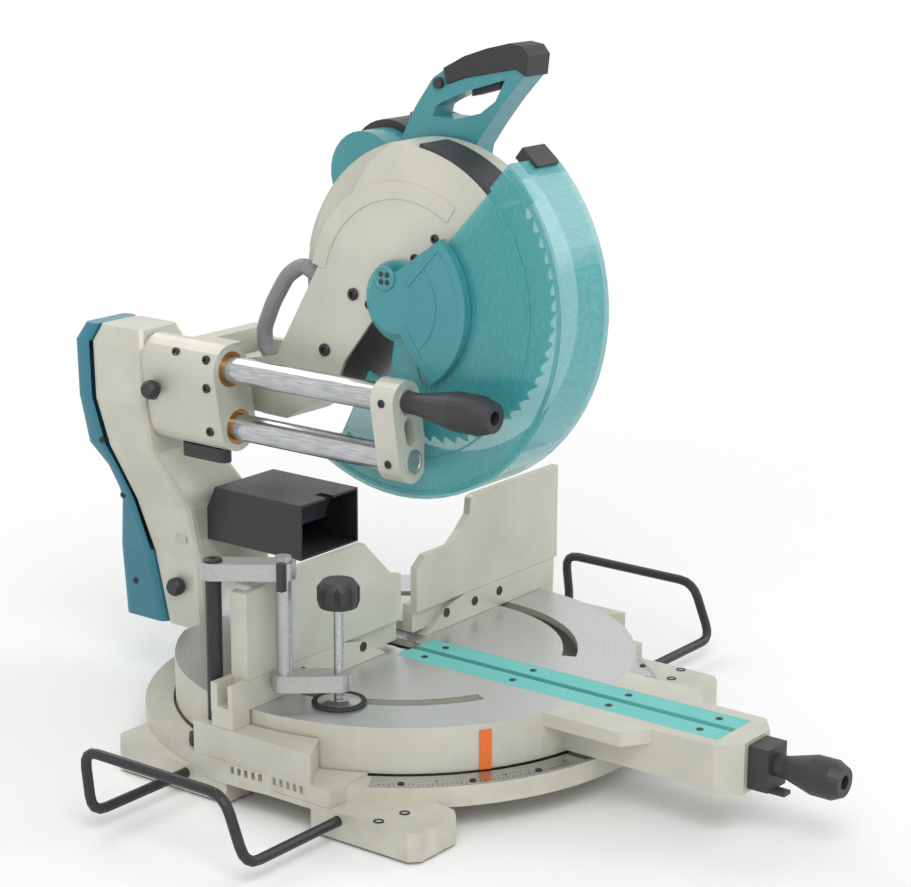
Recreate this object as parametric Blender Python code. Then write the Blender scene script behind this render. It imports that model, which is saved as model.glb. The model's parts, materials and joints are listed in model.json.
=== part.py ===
"""A sliding compound mitre saw for 305 mm blades, as an assembly of separate pieces.

Everything is in metres with +Z up.  The bench is at height zero, the operator stands at -Y and the
saw's right hand is +X.  The mitre pivot stands on the fence's front plane, and PIVOT_Y moves the whole
saw so that its box stands centred on the origin.
"""

from math import acos, asin, atan2, cos, hypot, pi, radians, sin

import bmesh
import bpy
from mathutils import Matrix, Vector

for leftover in list(bpy.data.objects):
    bpy.data.objects.remove(leftover, do_unlink=True)

# Clearances: between touching pieces, between moving pieces, and how far a cutter runs past a face
GAP = 0.0003
RUNNING_GAP = 0.0025
OVERRUN = 0.004

# Table, base and fence
TABLE_HEIGHT = 0.095
TABLE_RADIUS = 0.2405
TABLE_THICKNESS = 0.007
TABLE_RIM_WALL = 0.006
TABLE_FLAT_Y = 0.215
BASE_RADIUS = 0.272
BASE_HALF_WIDTH = 0.268
BASE_WALL = 0.006
LEDGE_HEIGHT = 0.0465
DISH_UNDERSIDE = 0.026
HUMP_HEIGHT = 0.080
HUMP_FRONT_Y = -0.121
HUMP_BACK_Y = 0.052
FOOT_HEIGHT = 0.0317
FOOT_FRONT_Y = -0.224
FOOT_INNER_X = 0.1975
LOBE_BACK_Y = 0.172
LOBE_INNER_X = 0.190
PAD_HEIGHT = 0.003
PAD_RADIUS = 0.011
MITRE_LIMIT = radians(60)

# Front arm of the turntable
ARM_LENGTH = 0.425
ARM_HALF_WIDTH = 0.0465
ARM_DEPTH = 0.045
ARM_NOSE = 0.018
ARM_WALL = 0.005
SHELF_HALF_WIDTH = 0.073
SHELF_END_Y = -0.318
KERF_HALF_GAP = 0.0045
BOARD_OUTER_X = 0.031
BOARD_THICKNESS = 0.004
BOARD_START_Y = -0.012
BOARD_END_Y = -0.399

# Blade and the head's swing
BLADE_RADIUS = 0.1525
BLADE_THICKNESS = 0.0022
BLADE_TEETH = 60
TOOTH_DEPTH = 0.006
BLADE_REST_Y = -0.033
BLADE_REST_HEIGHT = 0.378
HEAD_PIVOT_Y = 0.210
HEAD_PIVOT_HEIGHT = 0.2585

# Rails, carriage and bevel arm
RAIL_RADIUS = 0.014
UPPER_RAIL_X = -0.092
UPPER_RAIL_HEIGHT = 0.290
LOWER_RAIL_X = -0.081
LOWER_RAIL_HEIGHT = 0.227

# Places that follow from the sizes above
REAR_REACH = 0.362
MITRE_GRIP_REACH = 0.094
MITRE_GRIP_TIP_Y = -ARM_LENGTH - MITRE_GRIP_REACH
PIVOT_Y = -(REAR_REACH + MITRE_GRIP_TIP_Y) / 2


# Finishes
def finish(name, colour, roughness, metallic):
    material = bpy.data.materials.new(name)
    material.use_nodes = True
    shader = material.node_tree.nodes["Principled BSDF"]
    shader.inputs["Base Color"].default_value = (*colour, 1)
    shader.inputs["Roughness"].default_value = roughness
    shader.inputs["Metallic"].default_value = metallic
    return material


SILVER = finish("silver_paint", (0.62, 0.61, 0.55), 0.45, 0.3)
MACHINED = finish("machined_aluminium", (0.72, 0.74, 0.75), 0.3, 0.9)
STEEL = finish("bright_steel", (0.65, 0.66, 0.68), 0.2, 1)
BLACK_STEEL = finish("black_steel", (0.03, 0.03, 0.035), 0.4, 0.4)
BLACK = finish("black_plastic", (0.03, 0.03, 0.035), 0.5, 0)
RUBBER = finish("black_rubber", (0.02, 0.02, 0.02), 0.8, 0)
TEAL = finish("teal_plastic", (0.05, 0.35, 0.38), 0.4, 0)
CLEAR_TEAL = finish("clear_teal_plastic", (0.06, 0.4, 0.44), 0.2, 0)
BOARD_TEAL = finish("kerf_board_plastic", (0.15, 0.6, 0.58), 0.5, 0)
DARK_GREY = finish("dark_grey_plastic", (0.1, 0.1, 0.12), 0.5, 0)
ORANGE = finish("orange_plastic", (0.9, 0.2, 0.03), 0.5, 0)
BRONZE = finish("bronze_bush", (0.5, 0.33, 0.13), 0.4, 0.9)
COPPER = finish("motor_winding", (0.55, 0.25, 0.1), 0.4, 0.8)


# Shapes, each one closed body in the saw's own coordinates
def mesh_from(points, faces):
    shape = bmesh.new()
    vertices = [shape.verts.new(point) for point in points]
    for face in faces:
        shape.faces.new([vertices[index] for index in face])
    bmesh.ops.recalc_face_normals(shape, faces=shape.faces)
    return shape


def on_axis(axis, first, second, along):
    """A point from its place along an axis and the other two coordinates in X, Y, Z order"""
    return {"X": (along, first, second), "Y": (first, along, second), "Z": (first, second, along)}[axis]


def prism(outline, axis, low, high):
    """An outline drawn square to an axis and extruded along it"""
    count = len(outline)
    points = [on_axis(axis, *point, level) for level in (low, high) for point in outline]
    walls = [(i, (i + 1) % count, count + (i + 1) % count, count + i) for i in range(count)]
    return mesh_from(points, [tuple(range(count)), tuple(range(count, 2 * count)), *walls])


def block(x, y, z):
    return prism([(x[0], y[0]), (x[1], y[0]), (x[1], y[1]), (x[0], y[1])], "Z", *z)


def turned(profile, axis, centre, steps=32):
    """A closed profile of (radius, place along the axis) turned about an axis through centre"""
    points, rings = [], []
    for radius, along in profile:
        if radius == 0:
            rings.append([len(points)] * steps)
            points.append(on_axis(axis, *centre, along))
            continue
        rings.append(list(range(len(points), len(points) + steps)))
        for step in range(steps):
            angle = 2 * pi * step / steps
            around = (centre[0] + radius * cos(angle), centre[1] + radius * sin(angle))
            points.append(on_axis(axis, *around, along))
    faces = []
    for ring, following in zip(rings, rings[1:] + rings[:1]):
        if ring[0] == ring[1] and following[0] == following[1]:
            continue
        for i in range(steps):
            j = (i + 1) % steps
            corners = [ring[i], ring[j], following[j], following[i]]
            faces.append(tuple(dict.fromkeys(corners)))
    return mesh_from(points, faces)


def disc(radius, axis, centre, low, high, steps=32):
    return turned([(0, low), (radius, low), (radius, high), (0, high)], axis, centre, steps)


def ring(inner, outer, axis, centre, low, high, steps=32):
    return turned([(inner, low), (outer, low), (outer, high), (inner, high)], axis, centre, steps)


def arc(centre, radius, start, end, steps):
    """Points along an arc, with angles measured from the first coordinate towards the second"""
    turns = [start + (end - start) * step / steps for step in range(steps + 1)]
    return [(centre[0] + radius * cos(turn), centre[1] + radius * sin(turn)) for turn in turns]


def sector(centre, inner, outer, start, end, steps):
    return arc(centre, outer, start, end, steps) + arc(centre, inner, end, start, steps)


def capsule(first, second, radius, steps=10):
    """The outline round two equal circles"""
    heading = atan2(second[1] - first[1], second[0] - first[0])
    return (arc(second, radius, heading - pi / 2, heading + pi / 2, steps)
            + arc(first, radius, heading + pi / 2, heading + 3 * pi / 2, steps))


def loft(sections):
    """Closed outlines of equal point count, skinned in order"""
    count = len(sections[0])
    points = [point for section in sections for point in section]
    faces = [tuple(range(count)), tuple(range(len(points) - count, len(points)))]
    for level in range(len(sections) - 1):
        for i in range(count):
            j = (i + 1) % count
            low, high = level * count, (level + 1) * count
            faces.append((low + i, low + j, high + j, high + i))
    return mesh_from(points, faces)


def bar(points, radius, steps=8):
    """A round bar along a run of points"""
    sections = []
    places = [Vector(point) for point in points]
    side = None
    for index, place in enumerate(places):
        before = places[max(index - 1, 0)]
        after = places[min(index + 1, len(places) - 1)]
        heading = (after - before).normalized()
        if side is None:
            side = heading.orthogonal().normalized()
        side = (side - heading * side.dot(heading)).normalized()
        other = heading.cross(side)
        turns = [2 * pi * step / steps for step in range(steps)]
        sections.append([place + (side * cos(turn) + other * sin(turn)) * radius for turn in turns])
    return loft(sections)


def rounded_run(corners, radius, steps=4):
    """A run of straight lines with each inner corner rounded"""
    run = [Vector(corners[0])]
    for before, corner, after in zip(corners, corners[1:], corners[2:]):
        corner = Vector(corner)
        inward = (Vector(before) - corner).normalized()
        onward = (Vector(after) - corner).normalized()
        for step in range(steps + 1):
            share = step / steps
            start, end = corner + inward * radius, corner + onward * radius
            run.append(start * (1 - share) ** 2 + corner * 2 * share * (1 - share) + end * share ** 2)
    run.append(Vector(corners[-1]))
    return run


def group(shapes):
    """Separate solids held together as one cutter"""
    joined = bmesh.new()
    for shape in shapes:
        holder = bpy.data.meshes.new("group_member")
        shape.to_mesh(holder)
        joined.from_mesh(holder)
        bpy.data.meshes.remove(holder)
    return joined


def mirrored(shape):
    """The same shape on the saw's other hand"""
    twin = shape.copy()
    bmesh.ops.scale(twin, vec=(-1, 1, 1), verts=twin.verts)
    bmesh.ops.recalc_face_normals(twin, faces=twin.faces)
    return twin


def turned_shape(shape, angle, axis, about):
    """A shape turned about a line through a point"""
    bmesh.ops.rotate(shape, cent=about, matrix=Matrix.Rotation(angle, 3, axis), verts=shape.verts)
    return shape


# Carriers: empties on the joints' axes, which hold what moves
def carrier(name, place, holder=None):
    empty = bpy.data.objects.new(name, None)
    bpy.context.collection.objects.link(empty)
    empty["place"] = place
    held_at = Vector(holder["place"]) if holder else Vector((0, -PIVOT_Y, 0))
    empty.parent = holder
    empty.location = Vector(place) - held_at
    return empty


SAW = carrier("saw", (0, 0, 0))


SHARP_ANGLE = radians(35)


def add_object(name, shape, holder, material):
    shape.transform(Matrix.Translation(-Vector(holder["place"])))
    mesh = bpy.data.meshes.new(name)
    shape.to_mesh(mesh)
    mesh.materials.append(material)
    mesh.shade_smooth()
    mesh.set_sharp_from_angle(angle=SHARP_ANGLE)
    made = bpy.data.objects.new(name, mesh)
    bpy.context.collection.objects.link(made)
    made.parent = holder
    return made


def piece(name, material, holder, shape, joins=(), cuts=(), later_joins=()):
    """One named piece: a shape with others joined to it, then others cut from it, then more joined"""
    made = add_object(name, shape, holder, material)
    for stage, operation, tools in (("join", "UNION", joins), ("cut", "DIFFERENCE", cuts),
                                    ("later_join", "UNION", later_joins)):
        for number, tool_shape in enumerate(tools):
            tool = add_object(f"{name}_{stage}_{number}", tool_shape, holder, material)
            tool.hide_render = True
            tool.display_type = "WIRE"
            tool.hide_set(True)
            boolean = made.modifiers.new(f"{stage}_{number}", "BOOLEAN")
            boolean.operation = operation
            boolean.object = tool
            boolean.solver = "EXACT"
    return made


# Base casting: a dish under the turntable, a block on each side with a foot and a rear lobe, and a hump
CASTING_FOOT = PAD_HEIGHT + GAP
DISH_BORE = TABLE_RADIUS + RUNNING_GAP
DISH_FLOOR = DISH_UNDERSIDE + BASE_WALL
PIVOT_BOLT_RADIUS = 0.008
POST_RING = 0.1725
POST_RADIUS = 0.0055
POST_Y = 0.0145
FENCE_UNDERSIDE = TABLE_HEIGHT + GAP
ARCH_FRONT_Y = -0.098
ARCH_BACK_Y = 0.010
FOOT_CORNER = 0.009
HOLDER_RADIUS = 0.0052
HOLDER_HEIGHT = 0.022
HOLDER_FRONT_Y = -0.131
HOLDER_BACK_Y = 0.064
VISE_ROD_RADIUS = 0.008
VISE_X = -0.250
VISE_Y = 0.0385
VISE_SEAT = 0.048
NOTCH_COUNT = 5
NOTCH_WIDTH = 0.0045
NOTCH_PITCH = 0.0085
NOTCH_HEIGHT = 0.008
NOTCH_DEPTH = 0.003

low_outline = [
    (LOBE_INNER_X - FOOT_CORNER, HOLDER_BACK_Y),
    (LOBE_INNER_X - FOOT_CORNER, FOOT_FRONT_Y / 2),
    (FOOT_INNER_X, FOOT_FRONT_Y + FOOT_CORNER),
    (FOOT_INNER_X + FOOT_CORNER, FOOT_FRONT_Y),
    (BASE_HALF_WIDTH - FOOT_CORNER, FOOT_FRONT_Y),
    (BASE_HALF_WIDTH, FOOT_FRONT_Y + FOOT_CORNER),
    (BASE_HALF_WIDTH, LOBE_BACK_Y - 2 * FOOT_CORNER),
    (BASE_HALF_WIDTH - 2 * FOOT_CORNER, LOBE_BACK_Y),
    (LOBE_INNER_X + FOOT_CORNER, LOBE_BACK_Y),
    (LOBE_INNER_X - FOOT_CORNER, LOBE_BACK_Y - 2 * FOOT_CORNER),
]
low_block = prism(low_outline, "Z", CASTING_FOOT, FOOT_HEIGHT)
hump_start = asin(HUMP_FRONT_Y / DISH_BORE)
hump_end = asin(HUMP_BACK_Y / DISH_BORE)
hump_outline = arc((0, 0), DISH_BORE, hump_start, hump_end, 8) + [
    (BASE_HALF_WIDTH, HUMP_BACK_Y), (BASE_HALF_WIDTH, HUMP_FRONT_Y)]
hump = prism(hump_outline, "Z", DISH_FLOOR, HUMP_HEIGHT)
post = disc(POST_RADIUS, "Z", (POST_RING, POST_Y), DISH_FLOOR - BASE_WALL / 2, FENCE_UNDERSIDE - GAP, 12)
arch = block((0, BASE_HALF_WIDTH + OVERRUN), (ARCH_FRONT_Y, ARCH_BACK_Y), (-OVERRUN, DISH_UNDERSIDE - GAP))
foot_hollow = block((FOOT_INNER_X + BASE_WALL, BASE_HALF_WIDTH - BASE_WALL),
                    (FOOT_FRONT_Y + 7 * BASE_WALL, ARCH_FRONT_Y - BASE_WALL),
                    (-OVERRUN, DISH_UNDERSIDE - BASE_WALL))
lobe_hollow = block((LOBE_INNER_X, BASE_HALF_WIDTH - BASE_WALL),
                    (ARCH_BACK_Y + BASE_WALL, LOBE_BACK_Y - 9 * BASE_WALL),
                    (-OVERRUN, DISH_UNDERSIDE - BASE_WALL))
leg_bores = group([
    disc(HOLDER_RADIUS + GAP, "X", (y, HOLDER_HEIGHT), LOBE_INNER_X - 3 * FOOT_CORNER,
         BASE_HALF_WIDTH + OVERRUN, 12)
    for y in (HOLDER_FRONT_Y, HOLDER_BACK_Y)])
vise_bore = disc(VISE_ROD_RADIUS + GAP, "Z", (-VISE_X, VISE_Y), VISE_SEAT, HUMP_HEIGHT + OVERRUN, 16)
notch_middle = (ARCH_FRONT_Y + ARCH_BACK_Y) / 2
notches = group([
    block((BASE_HALF_WIDTH - NOTCH_DEPTH, BASE_HALF_WIDTH + OVERRUN),
          (notch_middle + side * (number + 1) * NOTCH_PITCH - NOTCH_WIDTH / 2,
           notch_middle + side * (number + 1) * NOTCH_PITCH + NOTCH_WIDTH / 2),
          (FOOT_HEIGHT + BASE_WALL + GAP, FOOT_HEIGHT + BASE_WALL + NOTCH_HEIGHT))
    for side in (-1, 1) for number in range(NOTCH_COUNT)])
KNOB_SCREW = 0.003
KNOB_RADIUS = 0.009
KNOB_HEIGHT = 0.012
KNOB_X = 0.250
clamp_bore = disc(KNOB_SCREW + GAP, "Z", (KNOB_X, HOLDER_BACK_Y), HOLDER_HEIGHT,
                  LEDGE_HEIGHT + OVERRUN, 10)
dish = turned([(PIVOT_BOLT_RADIUS + GAP, DISH_UNDERSIDE), (BASE_RADIUS, DISH_UNDERSIDE),
               (BASE_RADIUS, LEDGE_HEIGHT), (DISH_BORE, LEDGE_HEIGHT), (DISH_BORE, DISH_FLOOR),
               (PIVOT_BOLT_RADIUS + GAP, DISH_FLOOR)], "Z", (0, 0), 80)
arm_room = turned_shape(
    block((-3 * ARM_HALF_WIDTH, ARM_HALF_WIDTH + RUNNING_GAP), (-ARM_LENGTH, -TABLE_RADIUS + 4 * ARM_WALL),
          (TABLE_HEIGHT - ARM_DEPTH - GAP, HUMP_HEIGHT + OVERRUN)), MITRE_LIMIT, "Z", (0, 0, 0))
right_cuts = [foot_hollow, lobe_hollow, arch, leg_bores, vise_bore, notches, clamp_bore, arm_room]
piece("base_casting", SILVER, SAW, dish,
      joins=[low_block, mirrored(low_block), hump, mirrored(hump), post, mirrored(post)],
      cuts=right_cuts + [mirrored(cut) for cut in right_cuts])

pad_places = [(side * (BASE_HALF_WIDTH - 2.5 * FOOT_CORNER), y) for side in (-1, 1)
              for y in (FOOT_FRONT_Y + 2 * FOOT_CORNER, LOBE_BACK_Y - 2.5 * FOOT_CORNER)]
for number, place in enumerate(pad_places, 1):
    piece(f"rubber_foot_{number}", RUBBER, SAW, disc(PAD_RADIUS, "Z", place, 0, PAD_HEIGHT, 16))

# Mitre scale: a thin arc on the ledge
SCALE_THICKNESS = 0.001
SCALE_INNER = TABLE_RADIUS + 2 * RUNNING_GAP
SCALE_OUTER = BASE_RADIUS - RUNNING_GAP
SCALE_HALF_ANGLE = radians(59)
scale_low = LEDGE_HEIGHT + GAP
scale_top = scale_low + SCALE_THICKNESS
piece("mitre_scale", STEEL, SAW,
      prism(sector((0, 0), SCALE_INNER, SCALE_OUTER, -pi / 2 - SCALE_HALF_ANGLE,
                   -pi / 2 + SCALE_HALF_ANGLE, 40), "Z", scale_low, scale_top))

# Pivot bolt with its washer under the dish and its nut over the turntable's hub
HUB_RADIUS = 0.034
HUB_TOP = 0.060
BOLT_HEAD_RADIUS = 0.015
BOLT_HEAD_HEIGHT = 0.008
bolt_low = DISH_UNDERSIDE - GAP
bolt_top = HUB_TOP + GAP
piece("mitre_pivot_bolt", STEEL, SAW, turned([
    (0, bolt_low - BOLT_HEAD_HEIGHT), (BOLT_HEAD_RADIUS, bolt_low - BOLT_HEAD_HEIGHT),
    (BOLT_HEAD_RADIUS, bolt_low), (PIVOT_BOLT_RADIUS, bolt_low), (PIVOT_BOLT_RADIUS, bolt_top),
    (BOLT_HEAD_RADIUS, bolt_top), (BOLT_HEAD_RADIUS, bolt_top + BOLT_HEAD_HEIGHT),
    (0, bolt_top + BOLT_HEAD_HEIGHT)], "Z", (0, 0), 16))

# Lower fence: one casting on the two humps, with a channel for each upper fence and a bridge behind
FENCE_INNER_X = 0.033
FENCE_SLANT_X = 0.071
FENCE_LOW_RISE = 0.030
FENCE_SLANT_RISE = 0.023
FENCE_FRONT_WALL = 0.006
CHANNEL_WIDTH = 0.0135
FENCE_REAR_WALL = 0.0085
FENCE_FLOOR = 0.006
FENCE_OUTER_X = BASE_HALF_WIDTH
BRIDGE_FRONT_Y = 0.042
BRIDGE_BACK_Y = 0.054
BRIDGE_HEIGHT = 0.011
fence_depth = FENCE_FRONT_WALL + CHANNEL_WIDTH + FENCE_REAR_WALL
fence_side = [(FENCE_INNER_X, FENCE_UNDERSIDE), (FENCE_SLANT_X, TABLE_HEIGHT + FENCE_SLANT_RISE),
              (FENCE_SLANT_X + FENCE_LOW_RISE, TABLE_HEIGHT + FENCE_LOW_RISE),
              (FENCE_OUTER_X, TABLE_HEIGHT + FENCE_LOW_RISE), (FENCE_OUTER_X, FENCE_UNDERSIDE)]
fence_wall = prism(fence_side, "Y", 0, fence_depth)
fence_end_x = DISH_BORE + GAP
fence_foot = block((fence_end_x, FENCE_OUTER_X - GAP), (GAP, fence_depth - GAP),
                   (HUMP_HEIGHT + GAP, FENCE_UNDERSIDE + FENCE_FLOOR / 2))
bridge_end_x = FENCE_SLANT_X + FENCE_LOW_RISE
bridge_link = block((FENCE_INNER_X, bridge_end_x), (fence_depth - FENCE_REAR_WALL / 2, BRIDGE_BACK_Y - GAP),
                    (FENCE_UNDERSIDE + GAP, TABLE_HEIGHT + BRIDGE_HEIGHT - GAP))
bridge = block((-bridge_end_x + GAP, bridge_end_x - GAP), (BRIDGE_FRONT_Y, BRIDGE_BACK_Y),
               (FENCE_UNDERSIDE, TABLE_HEIGHT + BRIDGE_HEIGHT))
channel = block((0, FENCE_OUTER_X + OVERRUN), (FENCE_FRONT_WALL, FENCE_FRONT_WALL + CHANNEL_WIDTH),
                (FENCE_UNDERSIDE + FENCE_FLOOR, TABLE_HEIGHT + FENCE_LOW_RISE + OVERRUN))
rod_room = disc(VISE_ROD_RADIUS + GAP, "Z", (VISE_X, VISE_Y), HUMP_HEIGHT, TABLE_HEIGHT + VISE_SEAT, 20)
piece("lower_fence", SILVER, SAW, fence_wall,
      joins=[mirrored(fence_wall), fence_foot, mirrored(fence_foot), bridge, bridge_link,
             mirrored(bridge_link)],
      cuts=[channel, mirrored(channel), rod_room])

# Upper fences: plates that stand over the lower fence's front wall and slide out in its channel
UPPER_PLATE = 0.0083
LEFT_END_WALL = 0.010
LEFT_END_DEPTH = 0.021
LEFT_END_X = -0.2455
LEFT_TOP = 0.127
LEFT_OUTER_TOP = 0.118
LEFT_CORNER_X = -0.068
LEFT_STEP_X = -0.024
LEFT_STEP = 0.084
LEFT_INNER_X = -0.008
LEFT_TAB = 0.080
RIGHT_END_X = 0.274
RIGHT_TOP = 0.137
RIGHT_INNER_X = 0.0185
RIGHT_STEP = 0.078
RIGHT_CURVE_X = 0.076
RIGHT_CURVE = 0.090
RIGHT_CORNER_X = 0.112
RIGHT_CORNER = 0.117
slide_low = FENCE_UNDERSIDE + FENCE_FLOOR + GAP
plate_low = TABLE_HEIGHT + FENCE_LOW_RISE + GAP
foot_y = (FENCE_FRONT_WALL + GAP, FENCE_FRONT_WALL + CHANNEL_WIDTH - GAP)
left_outline = [(LEFT_END_X, plate_low), (LEFT_END_X, TABLE_HEIGHT + LEFT_OUTER_TOP),
                ((LEFT_END_X + LEFT_CORNER_X) / 2, TABLE_HEIGHT + LEFT_TOP),
                (LEFT_CORNER_X, TABLE_HEIGHT + LEFT_TOP), (LEFT_STEP_X, TABLE_HEIGHT + LEFT_STEP),
                (LEFT_INNER_X, TABLE_HEIGHT + LEFT_TAB), (LEFT_INNER_X, plate_low)]
LEFT_FENCE = carrier("left_fence_slide", (LEFT_END_X, 0, plate_low), SAW)
left_end = block((LEFT_END_X, LEFT_END_X + LEFT_END_WALL), (GAP, LEFT_END_DEPTH),
                 (plate_low, TABLE_HEIGHT + LEFT_OUTER_TOP - GAP))
left_foot = block((LEFT_END_X + GAP, LEFT_INNER_X - GAP), foot_y, (slide_low, plate_low + FENCE_FLOOR))
piece("left_upper_fence", SILVER, LEFT_FENCE, prism(left_outline, "Y", 0, UPPER_PLATE),
      joins=[left_end, left_foot])
right_outline = [(RIGHT_INNER_X, plate_low), (RIGHT_INNER_X, TABLE_HEIGHT + RIGHT_STEP),
                 (FENCE_INNER_X + GAP, TABLE_HEIGHT + RIGHT_CURVE - GAP),
                 (RIGHT_CURVE_X, TABLE_HEIGHT + RIGHT_CURVE),
                 ((RIGHT_CURVE_X + RIGHT_CORNER_X) / 2, TABLE_HEIGHT + (RIGHT_CURVE + RIGHT_CORNER) / 2 - GAP),
                 (RIGHT_CORNER_X - RUNNING_GAP, TABLE_HEIGHT + RIGHT_CORNER),
                 (RIGHT_CORNER_X, TABLE_HEIGHT + RIGHT_TOP - RUNNING_GAP),
                 (RIGHT_CORNER_X + 2 * RUNNING_GAP, TABLE_HEIGHT + RIGHT_TOP),
                 (RIGHT_END_X, TABLE_HEIGHT + RIGHT_TOP), (RIGHT_END_X, plate_low)]
RIGHT_FENCE = carrier("right_fence_slide", (RIGHT_END_X, 0, plate_low), SAW)
right_foot = block((RIGHT_INNER_X + GAP, RIGHT_END_X - GAP), foot_y, (slide_low, plate_low + FENCE_FLOOR))
piece("right_upper_fence", SILVER, RIGHT_FENCE, prism(right_outline, "Y", 0, UPPER_PLATE),
      joins=[right_foot])

# Workpiece holders: bent bars that pull out of the base's sides
HOLDER_REACH = 0.396
HOLDER_SEAT_X = 0.178
HOLDER_RISE = 0.062
HOLDER_BEND = 0.018
HOLDER_TOP_FRONT_Y = -0.106
HOLDER_TOP_BACK_Y = 0.072
holder_run = [(HOLDER_SEAT_X, HOLDER_FRONT_Y, HOLDER_HEIGHT), (HOLDER_REACH, HOLDER_FRONT_Y, HOLDER_HEIGHT),
              (HOLDER_REACH, HOLDER_TOP_FRONT_Y, HOLDER_HEIGHT + HOLDER_RISE),
              (HOLDER_REACH, HOLDER_TOP_BACK_Y, HOLDER_HEIGHT + HOLDER_RISE),
              (HOLDER_REACH, HOLDER_BACK_Y, HOLDER_HEIGHT), (HOLDER_SEAT_X, HOLDER_BACK_Y, HOLDER_HEIGHT)]
for side_name, side in (("left", -1), ("right", 1)):
    slide = carrier(f"{side_name}_holder_slide", (side * BASE_HALF_WIDTH, 0, HOLDER_HEIGHT), SAW)
    run = rounded_run(holder_run, HOLDER_BEND)
    loop = bar(run, HOLDER_RADIUS, 10)
    piece(f"{side_name}_holder", BLACK_STEEL, slide, loop if side > 0 else mirrored(loop))
    knob_x = side * KNOB_X
    knob = carrier(f"{side_name}_holder_knob_axis", (knob_x, HOLDER_BACK_Y, LEDGE_HEIGHT), SAW)
    screw_low = HOLDER_HEIGHT + HOLDER_RADIUS + GAP
    knob_low = LEDGE_HEIGHT + GAP
    knob_top = knob_low + KNOB_HEIGHT
    piece(f"{side_name}_holder_knob", BLACK, knob, turned([
        (0, screw_low), (KNOB_SCREW, screw_low), (KNOB_SCREW, knob_low), (KNOB_RADIUS * 0.9, knob_low),
        (KNOB_RADIUS, knob_low + KNOB_HEIGHT / 3), (KNOB_RADIUS * 0.9, knob_top), (0, knob_top)],
        "Z", (knob_x, HOLDER_BACK_Y), 14))

# Vise: a rod in the left hump, an arm that swings over the fence, and a screw that presses a pad down
VISE_ARM_LOW = 0.129
VISE_ARM_THICK = 0.017
VISE_ARM_HALF_WIDTH = 0.0125
VISE_DROP_X = -0.209
VISE_DROP_Y = -0.0155
VISE_SCREW_X = -0.175
VISE_SCREW_Y = -0.056
VISE_FOOT_ARM_LOW = 0.015
VISE_FOOT_ARM_THICK = 0.017
VISE_SCREW_RADIUS = 0.005
VISE_SCREW_TOP = 0.100
VISE_KNOB_RADIUS = 0.021
VISE_KNOB_HEIGHT = 0.026
VISE_KNOB_FLUTES = 10
VISE_PAD_RADIUS = 0.023
VISE_PAD_THICK = 0.005
vise_bore_radius = VISE_ROD_RADIUS + GAP
arm_low = TABLE_HEIGHT + VISE_ARM_LOW
arm_top = arm_low + VISE_ARM_THICK
foot_low = TABLE_HEIGHT + VISE_FOOT_ARM_LOW
foot_top = foot_low + VISE_FOOT_ARM_THICK
rod_place = (VISE_X, VISE_Y)
drop_place = (VISE_DROP_X, VISE_DROP_Y)
screw_place = (VISE_SCREW_X, VISE_SCREW_Y)
rod_low = VISE_SEAT + GAP
piece("vise_rod", BLACK_STEEL, SAW, disc(VISE_ROD_RADIUS, "Z", rod_place, rod_low, arm_top - GAP, 20))
VISE_ARM = carrier("vise_swing", (*rod_place, arm_low), SAW)
piece("vise_arm", MACHINED, VISE_ARM,
      prism(capsule(rod_place, drop_place, VISE_ARM_HALF_WIDTH), "Z", arm_low, arm_top),
      cuts=[disc(vise_bore_radius, "Z", rod_place, arm_low - OVERRUN, arm_top + OVERRUN, 20),
            disc(vise_bore_radius, "Z", drop_place, arm_low - OVERRUN, arm_top + OVERRUN, 20)])
arm_heading = atan2(VISE_DROP_Y - VISE_Y, VISE_DROP_X - VISE_X)
thumb_angle = arm_heading + pi / 2
thumb_direction = Vector((-cos(thumb_angle), -sin(thumb_angle), 0))
thumb_start = Vector((*drop_place, (arm_low + arm_top) / 2)) + thumb_direction * (VISE_ARM_HALF_WIDTH + GAP)
THUMB_LENGTH = 0.009
THUMB_WING = 0.014
THUMB_THICK = 0.0035
THUMB = carrier("vise_thumb_axis", tuple(thumb_start), VISE_ARM)
wing_centre = thumb_start + thumb_direction * (THUMB_LENGTH + THUMB_WING / 4)
wing = block((-THUMB_THICK, THUMB_THICK), (-THUMB_THICK, THUMB_THICK), (-THUMB_WING, THUMB_WING))
wing.transform(Matrix.Translation(wing_centre))
thumb_stem = bar([thumb_start, thumb_start + thumb_direction * (THUMB_LENGTH + THUMB_THICK)],
                 THUMB_THICK, 10)
piece("vise_thumb_screw", BLACK, THUMB, thumb_stem, joins=[wing])
VISE_DROP = carrier("vise_height", (*drop_place, foot_low), VISE_ARM)
piece("vise_foot_arm", MACHINED, VISE_DROP,
      prism(capsule(drop_place, screw_place, VISE_ARM_HALF_WIDTH), "Z", foot_low, foot_top),
      joins=[disc(VISE_ROD_RADIUS, "Z", drop_place, foot_low + GAP, arm_top + VISE_PAD_THICK, 20)],
      cuts=[disc(VISE_SCREW_RADIUS + GAP, "Z", screw_place, foot_low - OVERRUN, foot_top + OVERRUN, 16)])
VISE_SCREW = carrier("vise_screw_travel", (*screw_place, foot_low), VISE_DROP)
pad_low = TABLE_HEIGHT + GAP
pad_top = pad_low + VISE_PAD_THICK
screw_top = TABLE_HEIGHT + VISE_SCREW_TOP
piece("vise_pad", STEEL, VISE_SCREW, turned([
    (0, pad_low), (VISE_PAD_RADIUS, pad_low), (VISE_PAD_RADIUS, pad_low + VISE_PAD_THICK / 2),
    (VISE_PAD_RADIUS / 2, pad_top), (0, pad_top)], "Z", screw_place, 28))
VISE_KNOB = carrier("vise_knob_turn", (*screw_place, screw_top), VISE_SCREW)
piece("vise_screw", STEEL, VISE_KNOB,
      disc(VISE_SCREW_RADIUS, "Z", screw_place, pad_top + GAP, screw_top - GAP, 16))
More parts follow.
